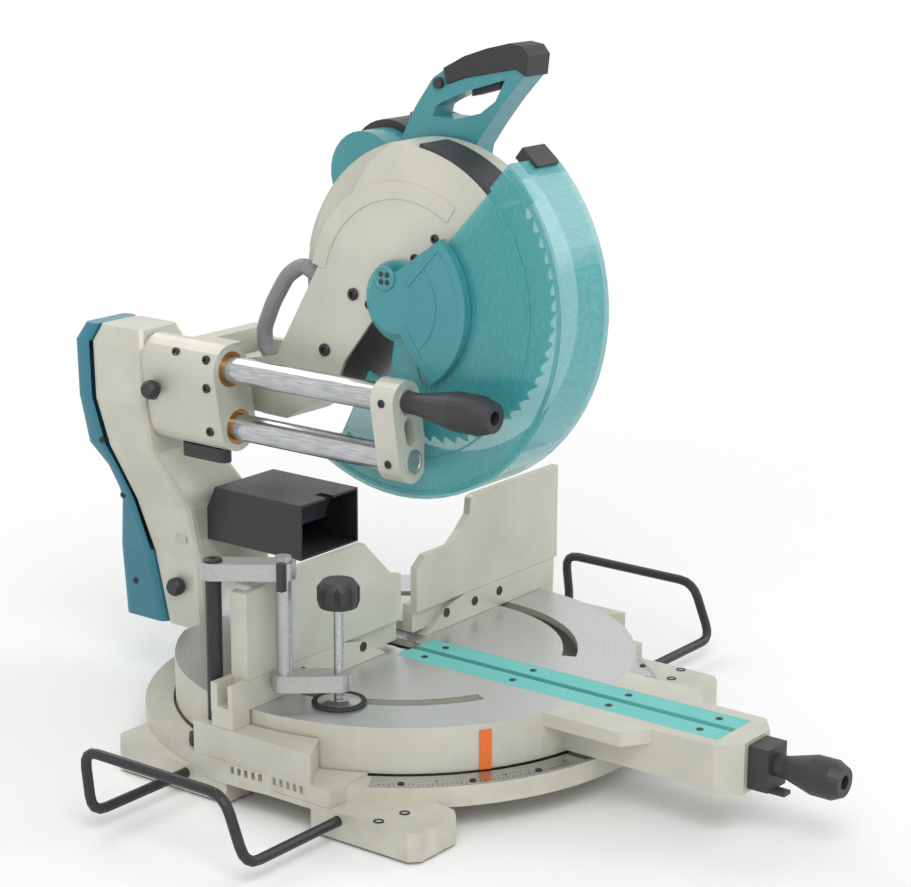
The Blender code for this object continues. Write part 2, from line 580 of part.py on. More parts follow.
flutes = [disc(VISE_KNOB_RADIUS / 8, "Z", (VISE_SCREW_X + VISE_KNOB_RADIUS * cos(turn),
                                          VISE_SCREW_Y + VISE_KNOB_RADIUS * sin(turn)),
               screw_top - OVERRUN, screw_top + VISE_KNOB_HEIGHT + OVERRUN, 8)
          for turn in (2 * pi * flute / VISE_KNOB_FLUTES for flute in range(VISE_KNOB_FLUTES))]
piece("vise_knob", BLACK, VISE_KNOB, turned([
    (0, screw_top), (VISE_KNOB_RADIUS * 0.9, screw_top), (VISE_KNOB_RADIUS, screw_top + VISE_KNOB_HEIGHT / 4),
    (VISE_KNOB_RADIUS, screw_top + VISE_KNOB_HEIGHT * 3 / 4),
    (VISE_KNOB_RADIUS * 3 / 4, screw_top + VISE_KNOB_HEIGHT), (0, screw_top + VISE_KNOB_HEIGHT)],
    "Z", screw_place, 40), cuts=[group(flutes)])

# Turntable: a shell turned about the mitre pivot, with the front arm, its shelves and the bevel flange
TURNTABLE = carrier("mitre_pivot", (0, 0, TABLE_HEIGHT), SAW)
RIM_FOOT = LEDGE_HEIGHT + SCALE_THICKNESS + 3 * GAP
SLOT_HALF_WIDTH = 0.0078
SLOT_FRONT_ANGLE = MITRE_LIMIT + radians(4)
SLOT_REAR_ANGLE = MITRE_LIMIT + asin((POST_Y + POST_RADIUS + RUNNING_GAP) / POST_RING)
FLANGE_RADIUS = 0.050
FLANGE_FRONT_Y = 0.185
SUPPORT_RING = 0.203
TABLE_SLOT_HALF_WIDTH = 0.011
TABLE_SLOT_BACK_Y = 0.048
table_under = TABLE_HEIGHT - TABLE_THICKNESS
hub_foot = DISH_FLOOR + GAP
hub_bore = PIVOT_BOLT_RADIUS + GAP
turntable_shell = turned([
    (hub_bore, hub_foot), (HUB_RADIUS, hub_foot), (HUB_RADIUS, HUB_TOP - BASE_WALL),
    (SUPPORT_RING, HUB_TOP - BASE_WALL), (SUPPORT_RING, hub_foot), (SUPPORT_RING + BASE_WALL, hub_foot),
    (SUPPORT_RING + BASE_WALL, table_under), (TABLE_RADIUS - TABLE_RIM_WALL, table_under),
    (TABLE_RADIUS - TABLE_RIM_WALL, RIM_FOOT), (TABLE_RADIUS, RIM_FOOT), (TABLE_RADIUS, TABLE_HEIGHT),
    (hub_bore + OVERRUN, TABLE_HEIGHT), (hub_bore + OVERRUN, table_under),
    (SUPPORT_RING - OVERRUN, table_under), (SUPPORT_RING - OVERRUN, HUB_TOP), (hub_bore, HUB_TOP),
], "Z", (0, 0), 80)
arm_low_z = TABLE_HEIGHT - ARM_DEPTH
arm_outline = [(ARM_HALF_WIDTH, -HUB_RADIUS * 3), (ARM_HALF_WIDTH, -ARM_LENGTH + ARM_NOSE),
               (ARM_HALF_WIDTH / 2, -ARM_LENGTH), (-ARM_HALF_WIDTH / 2, -ARM_LENGTH),
               (-ARM_HALF_WIDTH, -ARM_LENGTH + ARM_NOSE), (-ARM_HALF_WIDTH, -HUB_RADIUS * 3)]
arm = prism(arm_outline, "Z", arm_low_z, TABLE_HEIGHT)
shelf_outline = [(SHELF_HALF_WIDTH, -TABLE_RADIUS + 4 * ARM_WALL), (SHELF_HALF_WIDTH, SHELF_END_Y),
                 (ARM_HALF_WIDTH - GAP, SHELF_END_Y - ARM_NOSE), (-ARM_HALF_WIDTH + GAP, SHELF_END_Y - ARM_NOSE),
                 (-SHELF_HALF_WIDTH, SHELF_END_Y), (-SHELF_HALF_WIDTH, -TABLE_RADIUS + 4 * ARM_WALL)]
shelf = prism(shelf_outline, "Z", TABLE_HEIGHT - 2 * TABLE_THICKNESS, TABLE_HEIGHT)
nose_outline = [(ARM_HALF_WIDTH - GAP, -ARM_LENGTH + ARM_NOSE + GAP), (ARM_HALF_WIDTH / 2, -ARM_LENGTH + GAP),
                (-ARM_HALF_WIDTH / 2, -ARM_LENGTH + GAP), (-ARM_HALF_WIDTH + GAP, -ARM_LENGTH + ARM_NOSE + GAP),
                (-ARM_HALF_WIDTH + GAP, -ARM_LENGTH + 2 * ARM_NOSE), (ARM_HALF_WIDTH - GAP, -ARM_LENGTH + 2 * ARM_NOSE)]
NOSE_DEPTH = 0.052
nose = prism(nose_outline, "Z", TABLE_HEIGHT - NOSE_DEPTH, TABLE_HEIGHT - GAP)
flange = disc(FLANGE_RADIUS, "Y", (0, TABLE_HEIGHT), FLANGE_FRONT_Y, TABLE_FLAT_Y + OVERRUN, 40)
flat_cut = block((-BASE_RADIUS, BASE_RADIUS), (TABLE_FLAT_Y, BASE_RADIUS), (0, TABLE_HEIGHT + FLANGE_RADIUS * 2))
flange_floor = block((-FLANGE_RADIUS * 2, FLANGE_RADIUS * 2), (FLANGE_FRONT_Y - ARM_WALL, BASE_RADIUS),
                     (0, RIM_FOOT))
arm_hollow = block((-ARM_HALF_WIDTH + ARM_WALL, ARM_HALF_WIDTH - ARM_WALL),
                   (-ARM_LENGTH + ARM_NOSE + ARM_WALL, -TABLE_RADIUS + GAP),
                   (-OVERRUN, TABLE_HEIGHT - 2 * TABLE_THICKNESS))
BEVEL_BOLT_RADIUS = 0.008
BEVEL_HEAD = 0.014
BEVEL_HEAD_LENGTH = 0.008
bevel_bore = disc(BEVEL_BOLT_RADIUS + GAP, "Y", (0, TABLE_HEIGHT), FLANGE_FRONT_Y - OVERRUN,
                  TABLE_FLAT_Y + OVERRUN, 16)
bolt_head_room = disc(BEVEL_HEAD + RUNNING_GAP, "Y", (0, TABLE_HEIGHT), FLANGE_FRONT_Y - BEVEL_HEAD_LENGTH
                      - RUNNING_GAP, FLANGE_FRONT_Y, 20)
board_pocket = block((-BOARD_OUTER_X - GAP, BOARD_OUTER_X + GAP),
                     (BOARD_END_Y - GAP, BOARD_START_Y + GAP),
                     (TABLE_HEIGHT - BOARD_THICKNESS - GAP, TABLE_HEIGHT + OVERRUN))
blade_slot = block((-TABLE_SLOT_HALF_WIDTH, TABLE_SLOT_HALF_WIDTH), (BOARD_END_Y + ARM_WALL, TABLE_SLOT_BACK_Y),
                   (HUB_TOP + BOLT_HEAD_HEIGHT + OVERRUN, TABLE_HEIGHT + OVERRUN))
arc_slot = prism(sector((0, 0), POST_RING - SLOT_HALF_WIDTH, POST_RING + SLOT_HALF_WIDTH,
                        -SLOT_FRONT_ANGLE, SLOT_REAR_ANGLE, 20), "Z",
                 DISH_FLOOR - OVERRUN, TABLE_HEIGHT + OVERRUN)
LOCK_BORE_HEIGHT = 0.072
LOCK_ROD_RADIUS = 0.005
lock_bore = disc(LOCK_ROD_RADIUS + GAP, "Y", (0, LOCK_BORE_HEIGHT), -ARM_LENGTH - OVERRUN,
                 -ARM_LENGTH + 3 * ARM_NOSE, 12)
piece("turntable", MACHINED, TURNTABLE, turntable_shell, joins=[arm, shelf, nose, flange],
      cuts=[flat_cut, flange_floor, arm_hollow, bevel_bore, bolt_head_room, board_pocket, blade_slot,
            arc_slot, mirrored(arc_slot), lock_bore])
for side_name, side in (("left", -1), ("right", 1)):
    edges = sorted((side * KERF_HALF_GAP, side * BOARD_OUTER_X))
    piece(f"{side_name}_kerf_board", BOARD_TEAL, TURNTABLE,
          block(edges, (BOARD_END_Y, BOARD_START_Y), (TABLE_HEIGHT - BOARD_THICKNESS, TABLE_HEIGHT)))

# Mitre pointer: an orange tab on the rim that reads on the scale
POINTER_ANGLE = radians(-123)
POINTER_WIDTH = 0.012
POINTER_THICK = 0.0015
POINTER_RISE = 0.040
pointer_edge = TABLE_RADIUS + GAP
pointer = block((pointer_edge, pointer_edge + POINTER_THICK), (-POINTER_WIDTH / 2, POINTER_WIDTH / 2),
                (RIM_FOOT + GAP, RIM_FOOT + POINTER_RISE))
piece("mitre_pointer", ORANGE, TURNTABLE, turned_shape(pointer, POINTER_ANGLE, "Z", (0, 0, 0)))

# Mitre lock: a housing on the arm's nose, a screwed grip and the latch under it
HOUSING_HALF_WIDTH = 0.017
HOUSING_LENGTH = 0.022
HOUSING_LOW = 0.048
HOUSING_TOP = 0.091
housing_back = -ARM_LENGTH - GAP
housing_front = housing_back - HOUSING_LENGTH
piece("mitre_lock_housing", BLACK, TURNTABLE,
      block((-HOUSING_HALF_WIDTH, HOUSING_HALF_WIDTH), (housing_front, housing_back),
            (HOUSING_LOW, HOUSING_TOP)),
      cuts=[disc(LOCK_ROD_RADIUS + GAP, "Y", (0, LOCK_BORE_HEIGHT), housing_front - OVERRUN,
                 housing_back + OVERRUN, 12)])
MITRE_GRIP = carrier("mitre_lock_axis", (0, housing_front, LOCK_BORE_HEIGHT), TURNTABLE)
GRIP_RADIUS = 0.0195
GRIP_NECK = 0.011
GRIP_BORE = 0.007
GRIP_BORE_DEPTH = 0.012


def grip_profile(face, tip, rod_end):
    """A pear-shaped grip with its rod, along Y from its tip back to the rod's end"""
    length = face - tip
    return [(0, tip + GRIP_BORE_DEPTH), (GRIP_BORE, tip + GRIP_BORE_DEPTH), (GRIP_BORE, tip),
            (GRIP_RADIUS * 3 / 4, tip), (GRIP_RADIUS, tip + length / 7), (GRIP_RADIUS, tip + length * 3 / 7),
            (GRIP_NECK, tip + length * 6 / 7), (GRIP_NECK, face), (LOCK_ROD_RADIUS, face),
            (LOCK_ROD_RADIUS, rod_end), (0, rod_end)]


piece("mitre_lock_grip", BLACK, MITRE_GRIP,
      turned(grip_profile(housing_front - GAP, MITRE_GRIP_TIP_Y, -ARM_LENGTH + 2 * ARM_NOSE), "Y",
             (0, LOCK_BORE_HEIGHT), 24))
LATCH_HALF_WIDTH = 0.006
LATCH_THICK = 0.004
LATCH_REACH = 0.012
latch_top = HOUSING_LOW - GAP
latch_pivot = (0, housing_back, latch_top - LATCH_THICK / 2)
LATCH = carrier("latch_lever_axis", latch_pivot, TURNTABLE)
piece("latch_lever", BLACK, LATCH,
      block((-LATCH_HALF_WIDTH, LATCH_HALF_WIDTH), (housing_front - LATCH_REACH, housing_back - RUNNING_GAP),
            (latch_top - LATCH_THICK, latch_top)))

# Bevel bolt: it holds the column's boss to the turntable's flange
BOSS_RADIUS = 0.045
COLUMN_FRONT_Y = 0.236
bevel_start = FLANGE_FRONT_Y - GAP
bevel_end = COLUMN_FRONT_Y - BEVEL_HEAD_LENGTH
piece("bevel_pivot_bolt", STEEL, TURNTABLE, turned([
    (0, bevel_start - BEVEL_HEAD_LENGTH), (BEVEL_HEAD, bevel_start - BEVEL_HEAD_LENGTH),
    (BEVEL_HEAD, bevel_start), (BEVEL_BOLT_RADIUS, bevel_start), (BEVEL_BOLT_RADIUS, bevel_end),
    (0, bevel_end)], "Y", (0, TABLE_HEIGHT), 16))

# Column: the cast arm that tilts, rising from its boss to the rails' seats
COLUMN_HEIGHT = 0.319
COLUMN_REACH = 0.117
COLUMN_DEPTH = 0.099
COLUMN_CORNER = 0.009
RAIL_END_Y = 0.318
RAIL_FRONT_Y = -0.070
# Height, left side, right side, front and back, each as a share of the column's height, reach and depth
column_shares = [(-0.063, -0.5, 0.5, 0, 0.54), (0.188, -0.53, 0.47, 0, 0.7), (0.376, -0.64, 0.26, 0, 0.83),
                 (0.58, -0.9, -0.085, 0.225, 0.91), (0.75, -1, -0.34, 0.225, 0.98),
                 (0.94, -1, -0.385, 0.225, 1), (1, -0.96, -0.47, 0.27, 0.9)]


def rounded_section(left, right, front, back, corner, height):
    """A level rectangle with rounded corners"""
    corners = [(right - corner, back - corner, 0), (left + corner, back - corner, 1),
               (left + corner, front + corner, 2), (right - corner, front + corner, 3)]
    return [(*point, height) for x, y, quarter in corners
            for point in arc((x, y), corner, quarter * pi / 2, (quarter + 1) * pi / 2, 3)]


def column_at(height):
    """The column's section at any share of its height"""
    for low, high in zip(column_shares, column_shares[1:]):
        if height <= high[0]:
            way = (height - low[0]) / (high[0] - low[0])
            return [one + (other - one) * way for one, other in zip(low, high)]
    return column_shares[-1]


def column_section(share, front_shift=0, back_shift=0, side_shift=0):
    height, left, right, front, back = share
    return (COLUMN_REACH * left - side_shift, COLUMN_REACH * right + side_shift,
            COLUMN_FRONT_Y + COLUMN_DEPTH * front + front_shift,
            COLUMN_FRONT_Y + COLUMN_DEPTH * back + back_shift,
            COLUMN_CORNER, TABLE_HEIGHT + COLUMN_HEIGHT * height)


BEVEL = carrier("bevel_pivot", (0, TABLE_FLAT_Y, TABLE_HEIGHT), TURNTABLE)
upper_rail_place = (UPPER_RAIL_X, TABLE_HEIGHT + UPPER_RAIL_HEIGHT)
lower_rail_place = (LOWER_RAIL_X, TABLE_HEIGHT + LOWER_RAIL_HEIGHT)
rail_places = {"upper": upper_rail_place, "lower": lower_rail_place}
column = loft([rounded_section(*column_section(share)) for share in column_shares])
boss = disc(BOSS_RADIUS, "Y", (0, TABLE_HEIGHT), TABLE_FLAT_Y + GAP, COLUMN_FRONT_Y + COLUMN_CORNER, 40)
boss_bore = disc(BEVEL_BOLT_RADIUS + GAP, "Y", (0, TABLE_HEIGHT), TABLE_FLAT_Y - OVERRUN, COLUMN_FRONT_Y, 16)
rail_bores = [disc(RAIL_RADIUS + GAP, "Y", place, COLUMN_FRONT_Y - OVERRUN, RAIL_END_Y + GAP, 24)
              for place in rail_places.values()]
STOP_HEIGHT = 0.028
STOP_Y = 0.265
STOP_STEM = 0.004
stop_face = COLUMN_REACH * column_at(STOP_HEIGHT / COLUMN_HEIGHT)[1] - GAP
stop_bore = disc(STOP_STEM + GAP, "X", (STOP_Y, TABLE_HEIGHT + STOP_HEIGHT), stop_face - OVERRUN,
                 stop_face + BEVEL_HEAD_LENGTH, 12)
piece("column", SILVER, BEVEL, column, joins=[boss], cuts=[boss_bore, stop_bore, *rail_bores])

# Rear cover: a moulded shell over the column's back
COVER_WALL = 0.003
COVER_SIDE = 0.002
COVER_HOLLOW_FRONT = 0.02
# Height as a share of the column's height, with the shell's back as a share of the column's depth
cover_back_shares = [(-0.063, 1.17), (0.188, 1.2), (0.376, 1.02), (0.42, 1.0), (0.5, 1.02), (0.58, 1.2),
                     (0.75, 1.2), (0.94, 1.22), (1, 1.1)]


def cover_section(height, back_share, inset, front_inset):
    share = column_at(height)
    back = COLUMN_FRONT_Y + COLUMN_DEPTH * back_share - inset
    front = COLUMN_FRONT_Y + COLUMN_DEPTH * share[4] + GAP - front_inset
    corner = min(COLUMN_CORNER, (back - front) / 3)
    return rounded_section(COLUMN_REACH * share[1] - COVER_SIDE + inset,
                           COLUMN_REACH * share[2] + COVER_SIDE - inset,
                           front, back, corner, TABLE_HEIGHT + COLUMN_HEIGHT * height)


cover = loft([cover_section(height, back, 0, 0) for height, back in cover_back_shares])
cover_hollow = loft([cover_section(height, back, COVER_WALL, COVER_HOLLOW_FRONT)
                     for height, back in cover_back_shares if 0 < height < 1])
piece("rear_cover", TEAL, BEVEL, cover, cuts=[cover_hollow])

# Rails: two tubes that stand out of the column
for rail_name, place in rail_places.items():
    piece(f"{rail_name}_rail", STEEL, BEVEL,
          ring(RAIL_RADIUS * 3 / 4, RAIL_RADIUS, "Y", place, RAIL_FRONT_Y, RAIL_END_Y, 24))

# Rail bracket: it ties the rails' front ends together
BRACKET_FRONT_Y = -0.074
BRACKET_BACK_Y = -0.046
BRACKET_RADIUS = 0.0215
BRACKET_FLAT_X = -0.0635
bracket_flat = block((BRACKET_FLAT_X, BRACKET_FLAT_X + 2 * BRACKET_RADIUS),
                     (BRACKET_FRONT_Y - OVERRUN, BRACKET_BACK_Y + OVERRUN), (TABLE_HEIGHT, 2 * BLADE_REST_HEIGHT))
bracket_bores = [disc(RAIL_RADIUS + GAP, "Y", place, RAIL_FRONT_Y - GAP, BRACKET_BACK_Y + OVERRUN, 24)
                 for place in rail_places.values()]
bracket_bores.append(disc(LOCK_ROD_RADIUS + GAP, "Y", upper_rail_place, BRACKET_FRONT_Y - OVERRUN,
                          RAIL_FRONT_Y + OVERRUN, 12))
waist_centre = ((UPPER_RAIL_X + LOWER_RAIL_X) / 2, TABLE_HEIGHT + (UPPER_RAIL_HEIGHT + LOWER_RAIL_HEIGHT) / 2)
waist_pocket = prism(capsule(*[(waist_centre[0] + side * BRACKET_RADIUS / 12, waist_centre[1]
                                - side * BRACKET_RADIUS / 3) for side in (-1, 1)], BRACKET_RADIUS / 3, 6),
                     "Y", BRACKET_FRONT_Y - OVERRUN, BRACKET_BACK_Y - BASE_WALL)
piece("rail_bracket", SILVER, BEVEL,
      prism(capsule(upper_rail_place, lower_rail_place, BRACKET_RADIUS), "Y", BRACKET_FRONT_Y, BRACKET_BACK_Y),
      cuts=[bracket_flat, waist_pocket, *bracket_bores])

# Bevel lock grip: a screwed grip in front of the bracket, with its rod inside the upper rail
BEVEL_GRIP_TIP_Y = -0.181
BEVEL_ROD_END_Y = 0.300
BEVEL_GRIP = carrier("bevel_lock_axis", (UPPER_RAIL_X, BRACKET_FRONT_Y, upper_rail_place[1]), BEVEL)
piece("bevel_lock_grip", BLACK, BEVEL_GRIP,
      turned(grip_profile(BRACKET_FRONT_Y - GAP, BEVEL_GRIP_TIP_Y, BEVEL_ROD_END_Y), "Y", upper_rail_place, 24))

# Dust hood: a moulded scoop behind the blade, open towards it
HOOD_HALF_WIDTH = 0.047
HOOD_FRONT_Y = 0.103
HOOD_LOW = 0.083
HOOD_TOP = 0.143
HOOD_WALL = 0.0025
HOOD_SEAT_TOP = 0.118
NOTCH_HALF_WIDTH = 0.006
BLADE_NOTCH_LENGTH = 0.017
hood_back = COLUMN_FRONT_Y - GAP
hood_side = [(HOOD_FRONT_Y, TABLE_HEIGHT + HOOD_LOW), (hood_back, TABLE_HEIGHT + HOOD_LOW),
             (hood_back, TABLE_HEIGHT + HOOD_SEAT_TOP), (hood_back - 2 * BASE_WALL, TABLE_HEIGHT + HOOD_TOP),
             (HOOD_FRONT_Y, TABLE_HEIGHT + HOOD_TOP)]
hood_cavity = block((-HOOD_HALF_WIDTH + HOOD_WALL, HOOD_HALF_WIDTH - HOOD_WALL),
                    (HOOD_FRONT_Y - OVERRUN, hood_back - 3 * BASE_WALL),
                    (TABLE_HEIGHT + HOOD_LOW + HOOD_WALL, TABLE_HEIGHT + HOOD_TOP - HOOD_WALL))
blade_notch = block((-NOTCH_HALF_WIDTH, NOTCH_HALF_WIDTH), (HOOD_FRONT_Y - OVERRUN, HOOD_FRONT_Y + BLADE_NOTCH_LENGTH),
                    (TABLE_HEIGHT + HOOD_TOP - 2 * HOOD_WALL, TABLE_HEIGHT + HOOD_TOP + OVERRUN))
piece("dust_hood", BLACK, BEVEL, prism(hood_side, "X", -HOOD_HALF_WIDTH, HOOD_HALF_WIDTH),
      cuts=[hood_cavity, blade_notch])

# Bevel stop knob: on the column's left side
STOP_RADIUS = 0.010
STOP_LENGTH = 0.014


def side_knob(place, face, seat):
    """A knob on the left, with its stem in the casting, along X"""
    return turned([(0, face - STOP_LENGTH), (STOP_RADIUS * 3 / 4, face - STOP_LENGTH),
                   (STOP_RADIUS, face - STOP_LENGTH * 3 / 4), (STOP_RADIUS, face - STOP_LENGTH / 4),
                   (STOP_STEM * 2, face), (STOP_STEM, face), (STOP_STEM, seat), (0, seat)], "X", place, 20)


BEVEL_STOP = carrier("bevel_stop_axis", (stop_face, STOP_Y, TABLE_HEIGHT + STOP_HEIGHT), BEVEL)
piece("bevel_stop_knob", BLACK, BEVEL_STOP,
      side_knob((STOP_Y, TABLE_HEIGHT + STOP_HEIGHT), stop_face - GAP, stop_face + STOP_LENGTH / 2))

# Carriage: the casting that slides on the rails and carries the head's pivot
CARRIAGE_FRONT_Y = 0.156
CARRIAGE_BACK_Y = 0.2575
CARRIAGE_RADIUS = 0.026
BUSH_THICK = 0.004
LUG_FRONT_Y = 0.182
LUG_LOW = 0.208
LUG_TOP = 0.308
LEFT_LUG = (-0.066, -0.046)
RIGHT_LUG = (0.046, 0.056)
BLOCK_FRONT_Y = 0.2365
PIVOT_SHAFT_RADIUS = 0.007
head_pivot_place = (HEAD_PIVOT_Y, TABLE_HEIGHT + HEAD_PIVOT_HEIGHT)
CARRIAGE = carrier("carriage_slide", (UPPER_RAIL_X, CARRIAGE_BACK_Y, upper_rail_place[1]), BEVEL)
barrel = prism(capsule(upper_rail_place, lower_rail_place, CARRIAGE_RADIUS), "Y",
               CARRIAGE_FRONT_Y, CARRIAGE_BACK_Y)
lug = block(LEFT_LUG, (LUG_FRONT_Y, BLOCK_FRONT_Y + 2 * GAP), (TABLE_HEIGHT + LUG_LOW, TABLE_HEIGHT + LUG_TOP))
cross = block((LEFT_LUG[0] + GAP, RIGHT_LUG[1] - GAP), (BLOCK_FRONT_Y, CARRIAGE_BACK_Y - 4 * GAP),
              (TABLE_HEIGHT + LUG_LOW + BASE_WALL, TABLE_HEIGHT + LUG_TOP - BASE_WALL))
right_lug = block(RIGHT_LUG, (LUG_FRONT_Y, CARRIAGE_BACK_Y - 8 * GAP),
                  (TABLE_HEIGHT + LUG_LOW + 3 * BASE_WALL, TABLE_HEIGHT + LUG_TOP - 3 * BASE_WALL))
carriage_bores = [disc(RAIL_RADIUS + 2 * GAP + BUSH_THICK, "Y", place, CARRIAGE_FRONT_Y - OVERRUN,
                       CARRIAGE_BACK_Y + OVERRUN, 24) for place in rail_places.values()]
shaft_bore = disc(PIVOT_SHAFT_RADIUS + GAP, "X", head_pivot_place, LEFT_LUG[0] - GAP,
                  RIGHT_LUG[1] + OVERRUN, 16)
slide_knob_face = UPPER_RAIL_X - CARRIAGE_RADIUS * 0.95
SLIDE_KNOB_Y = 0.240
SLIDE_KNOB_HEIGHT = 0.262
slide_knob_place = (SLIDE_KNOB_Y, TABLE_HEIGHT + SLIDE_KNOB_HEIGHT)
slide_knob_seat = slide_knob_face + STOP_LENGTH * 3 / 4
stem_bore = disc(STOP_STEM + GAP, "X", slide_knob_place, slide_knob_face - OVERRUN, slide_knob_seat + GAP, 12)
piece("carriage", SILVER, CARRIAGE, barrel, joins=[lug, cross, right_lug],
      cuts=[*carriage_bores, shaft_bore, stem_bore])
for rail_name, place in rail_places.items():
    piece(f"{rail_name}_rail_bush", BRONZE, CARRIAGE,
          ring(RAIL_RADIUS + GAP, RAIL_RADIUS + GAP + BUSH_THICK, "Y", place,
               CARRIAGE_FRONT_Y + GAP, CARRIAGE_BACK_Y - GAP, 24))
SLIDE_KNOB = carrier("slide_lock_axis", (slide_knob_face, *slide_knob_place), CARRIAGE)
piece("slide_lock_knob", BLACK, SLIDE_KNOB, side_knob(slide_knob_place, slide_knob_face - GAP, slide_knob_seat))

# Depth stop: an arm under the carriage that turns out to stop the head early
DEPTH_LOW = 0.186
DEPTH_FRONT_Y = 0.170
DEPTH_BACK_Y = 0.225
depth_top = TABLE_HEIGHT + LOWER_RAIL_HEIGHT - CARRIAGE_RADIUS - GAP
DEPTH = carrier("depth_stop_axis", (LOWER_RAIL_X, DEPTH_BACK_Y, depth_top), CARRIAGE)
piece("depth_stop", BLACK, DEPTH,
      prism(capsule((LOWER_RAIL_X, DEPTH_FRONT_Y + BOLT_HEAD_HEIGHT), (LOWER_RAIL_X, DEPTH_BACK_Y),
                    BOLT_HEAD_HEIGHT, 8), "Z", TABLE_HEIGHT + DEPTH_LOW, depth_top))

# Head: everything that swings down on the carriage's shaft, placed about the blade's axis
blade_axis = (BLADE_REST_Y, TABLE_HEIGHT + BLADE_REST_HEIGHT)
SHAFT_END_WALL = 0.002
piece("head_pivot_shaft", STEEL, CARRIAGE,
      disc(PIVOT_SHAFT_RADIUS, "X", head_pivot_place, LEFT_LUG[0] + SHAFT_END_WALL,
           RIGHT_LUG[1] + SHAFT_END_WALL, 20))
HEAD = carrier("head_pivot", (0, *head_pivot_place), CARRIAGE)


def grown(outline, amount):
    """An outline moved outwards by an even amount"""
    area = sum(one[0] * two[1] - two[0] * one[1] for one, two in zip(outline, outline[1:] + outline[:1]))
    turn = 1 if area > 0 else -1
    moved = []
    for before, point, after in zip(outline[-1:] + outline[:-1], outline, outline[1:] + outline[:1]):
        first = Vector((point[0] - before[0], point[1] - before[1])).normalized()
        second = Vector((after[0] - point[0], after[1] - point[1])).normalized()
        outward = Vector((first.y + second.y, -first.x - second.x)).normalized() * turn
        lean = outward.dot(Vector((first.y, -first.x)) * turn)
        moved.append((point[0] + outward.x * amount / lean, point[1] + outward.y * amount / lean))
    return moved


def about_blade(shares):
    return [(blade_axis[0] + BLADE_RADIUS * back, blade_axis[1] + BLADE_RADIUS * up) for back, up in shares]


def about_pivot(shares):
    return [(head_pivot_place[0] + HEAD_HUB_RADIUS * back, head_pivot_place[1] + HEAD_HUB_RADIUS * up)
            for back, up in shares]


def blade_arc(radius, start, end, steps):
    """Points about the blade's axis, with angles measured from forwards, upwards"""
    return arc(blade_axis, radius, pi - radians(start), pi - radians(end), steps)


def blade_sector(inner, outer, start, end, steps):
    return blade_arc(outer, start, end, steps) + blade_arc(inner, end, start, steps)


# Head casting: the upper blade guard with its arm back to the hub
HEAD_HUB_RADIUS = 0.0245
HEAD_NECK_RADIUS = 0.018
CASTING_RADIUS = 0.155
CASTING_CAVITY = 0.1534
CASTING_LEFT_X = -0.047
CASTING_RIGHT_X = 0.021
CASTING_WALL = 0.004
CASTING_REAR_X = -0.010
REAR_WALL_INNER = 0.042
ARBOR_RADIUS = 0.0125
LUG_SWEEP = 0.061
# Places behind and above the blade's axis, as shares of the blade's radius
casting_back_shares = [(0.289, 0.859), (0.459, 0.584), (0.852, -0.098), (1.089, -0.511)]
casting_front_shares = [(1.003, -0.938), (0.577, -0.675), (0.492, -0.472), (0.184, -0.079)]
hub_top_shares = [(-0.82, 1.2)]
hub_low_shares = [(-1.02, -0.9)]
casting_outline = (blade_arc(CASTING_RADIUS, 42, 95, 12) + about_blade(casting_back_shares)
                   + about_pivot(hub_top_shares) + about_pivot(hub_low_shares)
                   + about_blade(casting_front_shares))
hub_left = LEFT_LUG[1] + 2 * GAP
hub = turned([(0, hub_left), (HEAD_HUB_RADIUS, hub_left), (HEAD_HUB_RADIUS, CASTING_RIGHT_X - GAP),
              (HEAD_NECK_RADIUS, CASTING_RIGHT_X), (HEAD_NECK_RADIUS, RIGHT_LUG[0] - GAP),
              (0, RIGHT_LUG[0] - GAP)], "X", head_pivot_place, 32)
rear_rim = prism(blade_sector(BLADE_RADIUS * 0.7, CASTING_RADIUS, 90, 168, 16), "X",
                 CASTING_REAR_X, CASTING_RIGHT_X - GAP)
rear_wall = prism(blade_sector(REAR_WALL_INNER, (CASTING_CAVITY + CASTING_RADIUS) / 2, 86, 192, 20), "X",
                  CASTING_REAR_X + GAP, CASTING_REAR_X + CASTING_WALL)
blade_cavity = disc(CASTING_CAVITY, "X", blade_axis, CASTING_LEFT_X + CASTING_WALL,
                    CASTING_RIGHT_X - CASTING_WALL, 72)
arbor_bore = disc(ARBOR_RADIUS + 2 * RUNNING_GAP, "X", blade_axis, 0, CASTING_RIGHT_X + OVERRUN, 24)
pivot_bore = disc(PIVOT_SHAFT_RADIUS + GAP, "X", head_pivot_place, LEFT_LUG[0], RIGHT_LUG[1], 20)
lug_room = disc(LUG_SWEEP, "X", head_pivot_place, LEFT_LUG[0], hub_left, 32)
piece("head_casting", SILVER, HEAD, prism(casting_outline, "X", CASTING_LEFT_X, CASTING_RIGHT_X),
      joins=[rear_rim, hub], cuts=[blade_cavity, arbor_bore, pivot_bore, lug_room],
      later_joins=[rear_wall])

# Return spring: a coil round the hub's neck
SPRING_WIRE = 0.0013
SPRING_TURNS = 4
spring_radius = HEAD_NECK_RADIUS + SPRING_WIRE * 1.6
spring_low = CASTING_RIGHT_X + 2 * SPRING_WIRE
spring_high = RIGHT_LUG[0] - 2 * SPRING_WIRE
SPRING_POINTS = 12
spring_run = []
for step in range(SPRING_TURNS * SPRING_POINTS + 1):
    turn = 2 * pi * step / SPRING_POINTS
    along = spring_low + (spring_high - spring_low) * step / (SPRING_TURNS * SPRING_POINTS)
    spring_run.append((along, head_pivot_place[0] + spring_radius * cos(turn),
                       head_pivot_place[1] + spring_radius * sin(turn)))
piece("return_spring", STEEL, HEAD, bar(spring_run, SPRING_WIRE, 6))

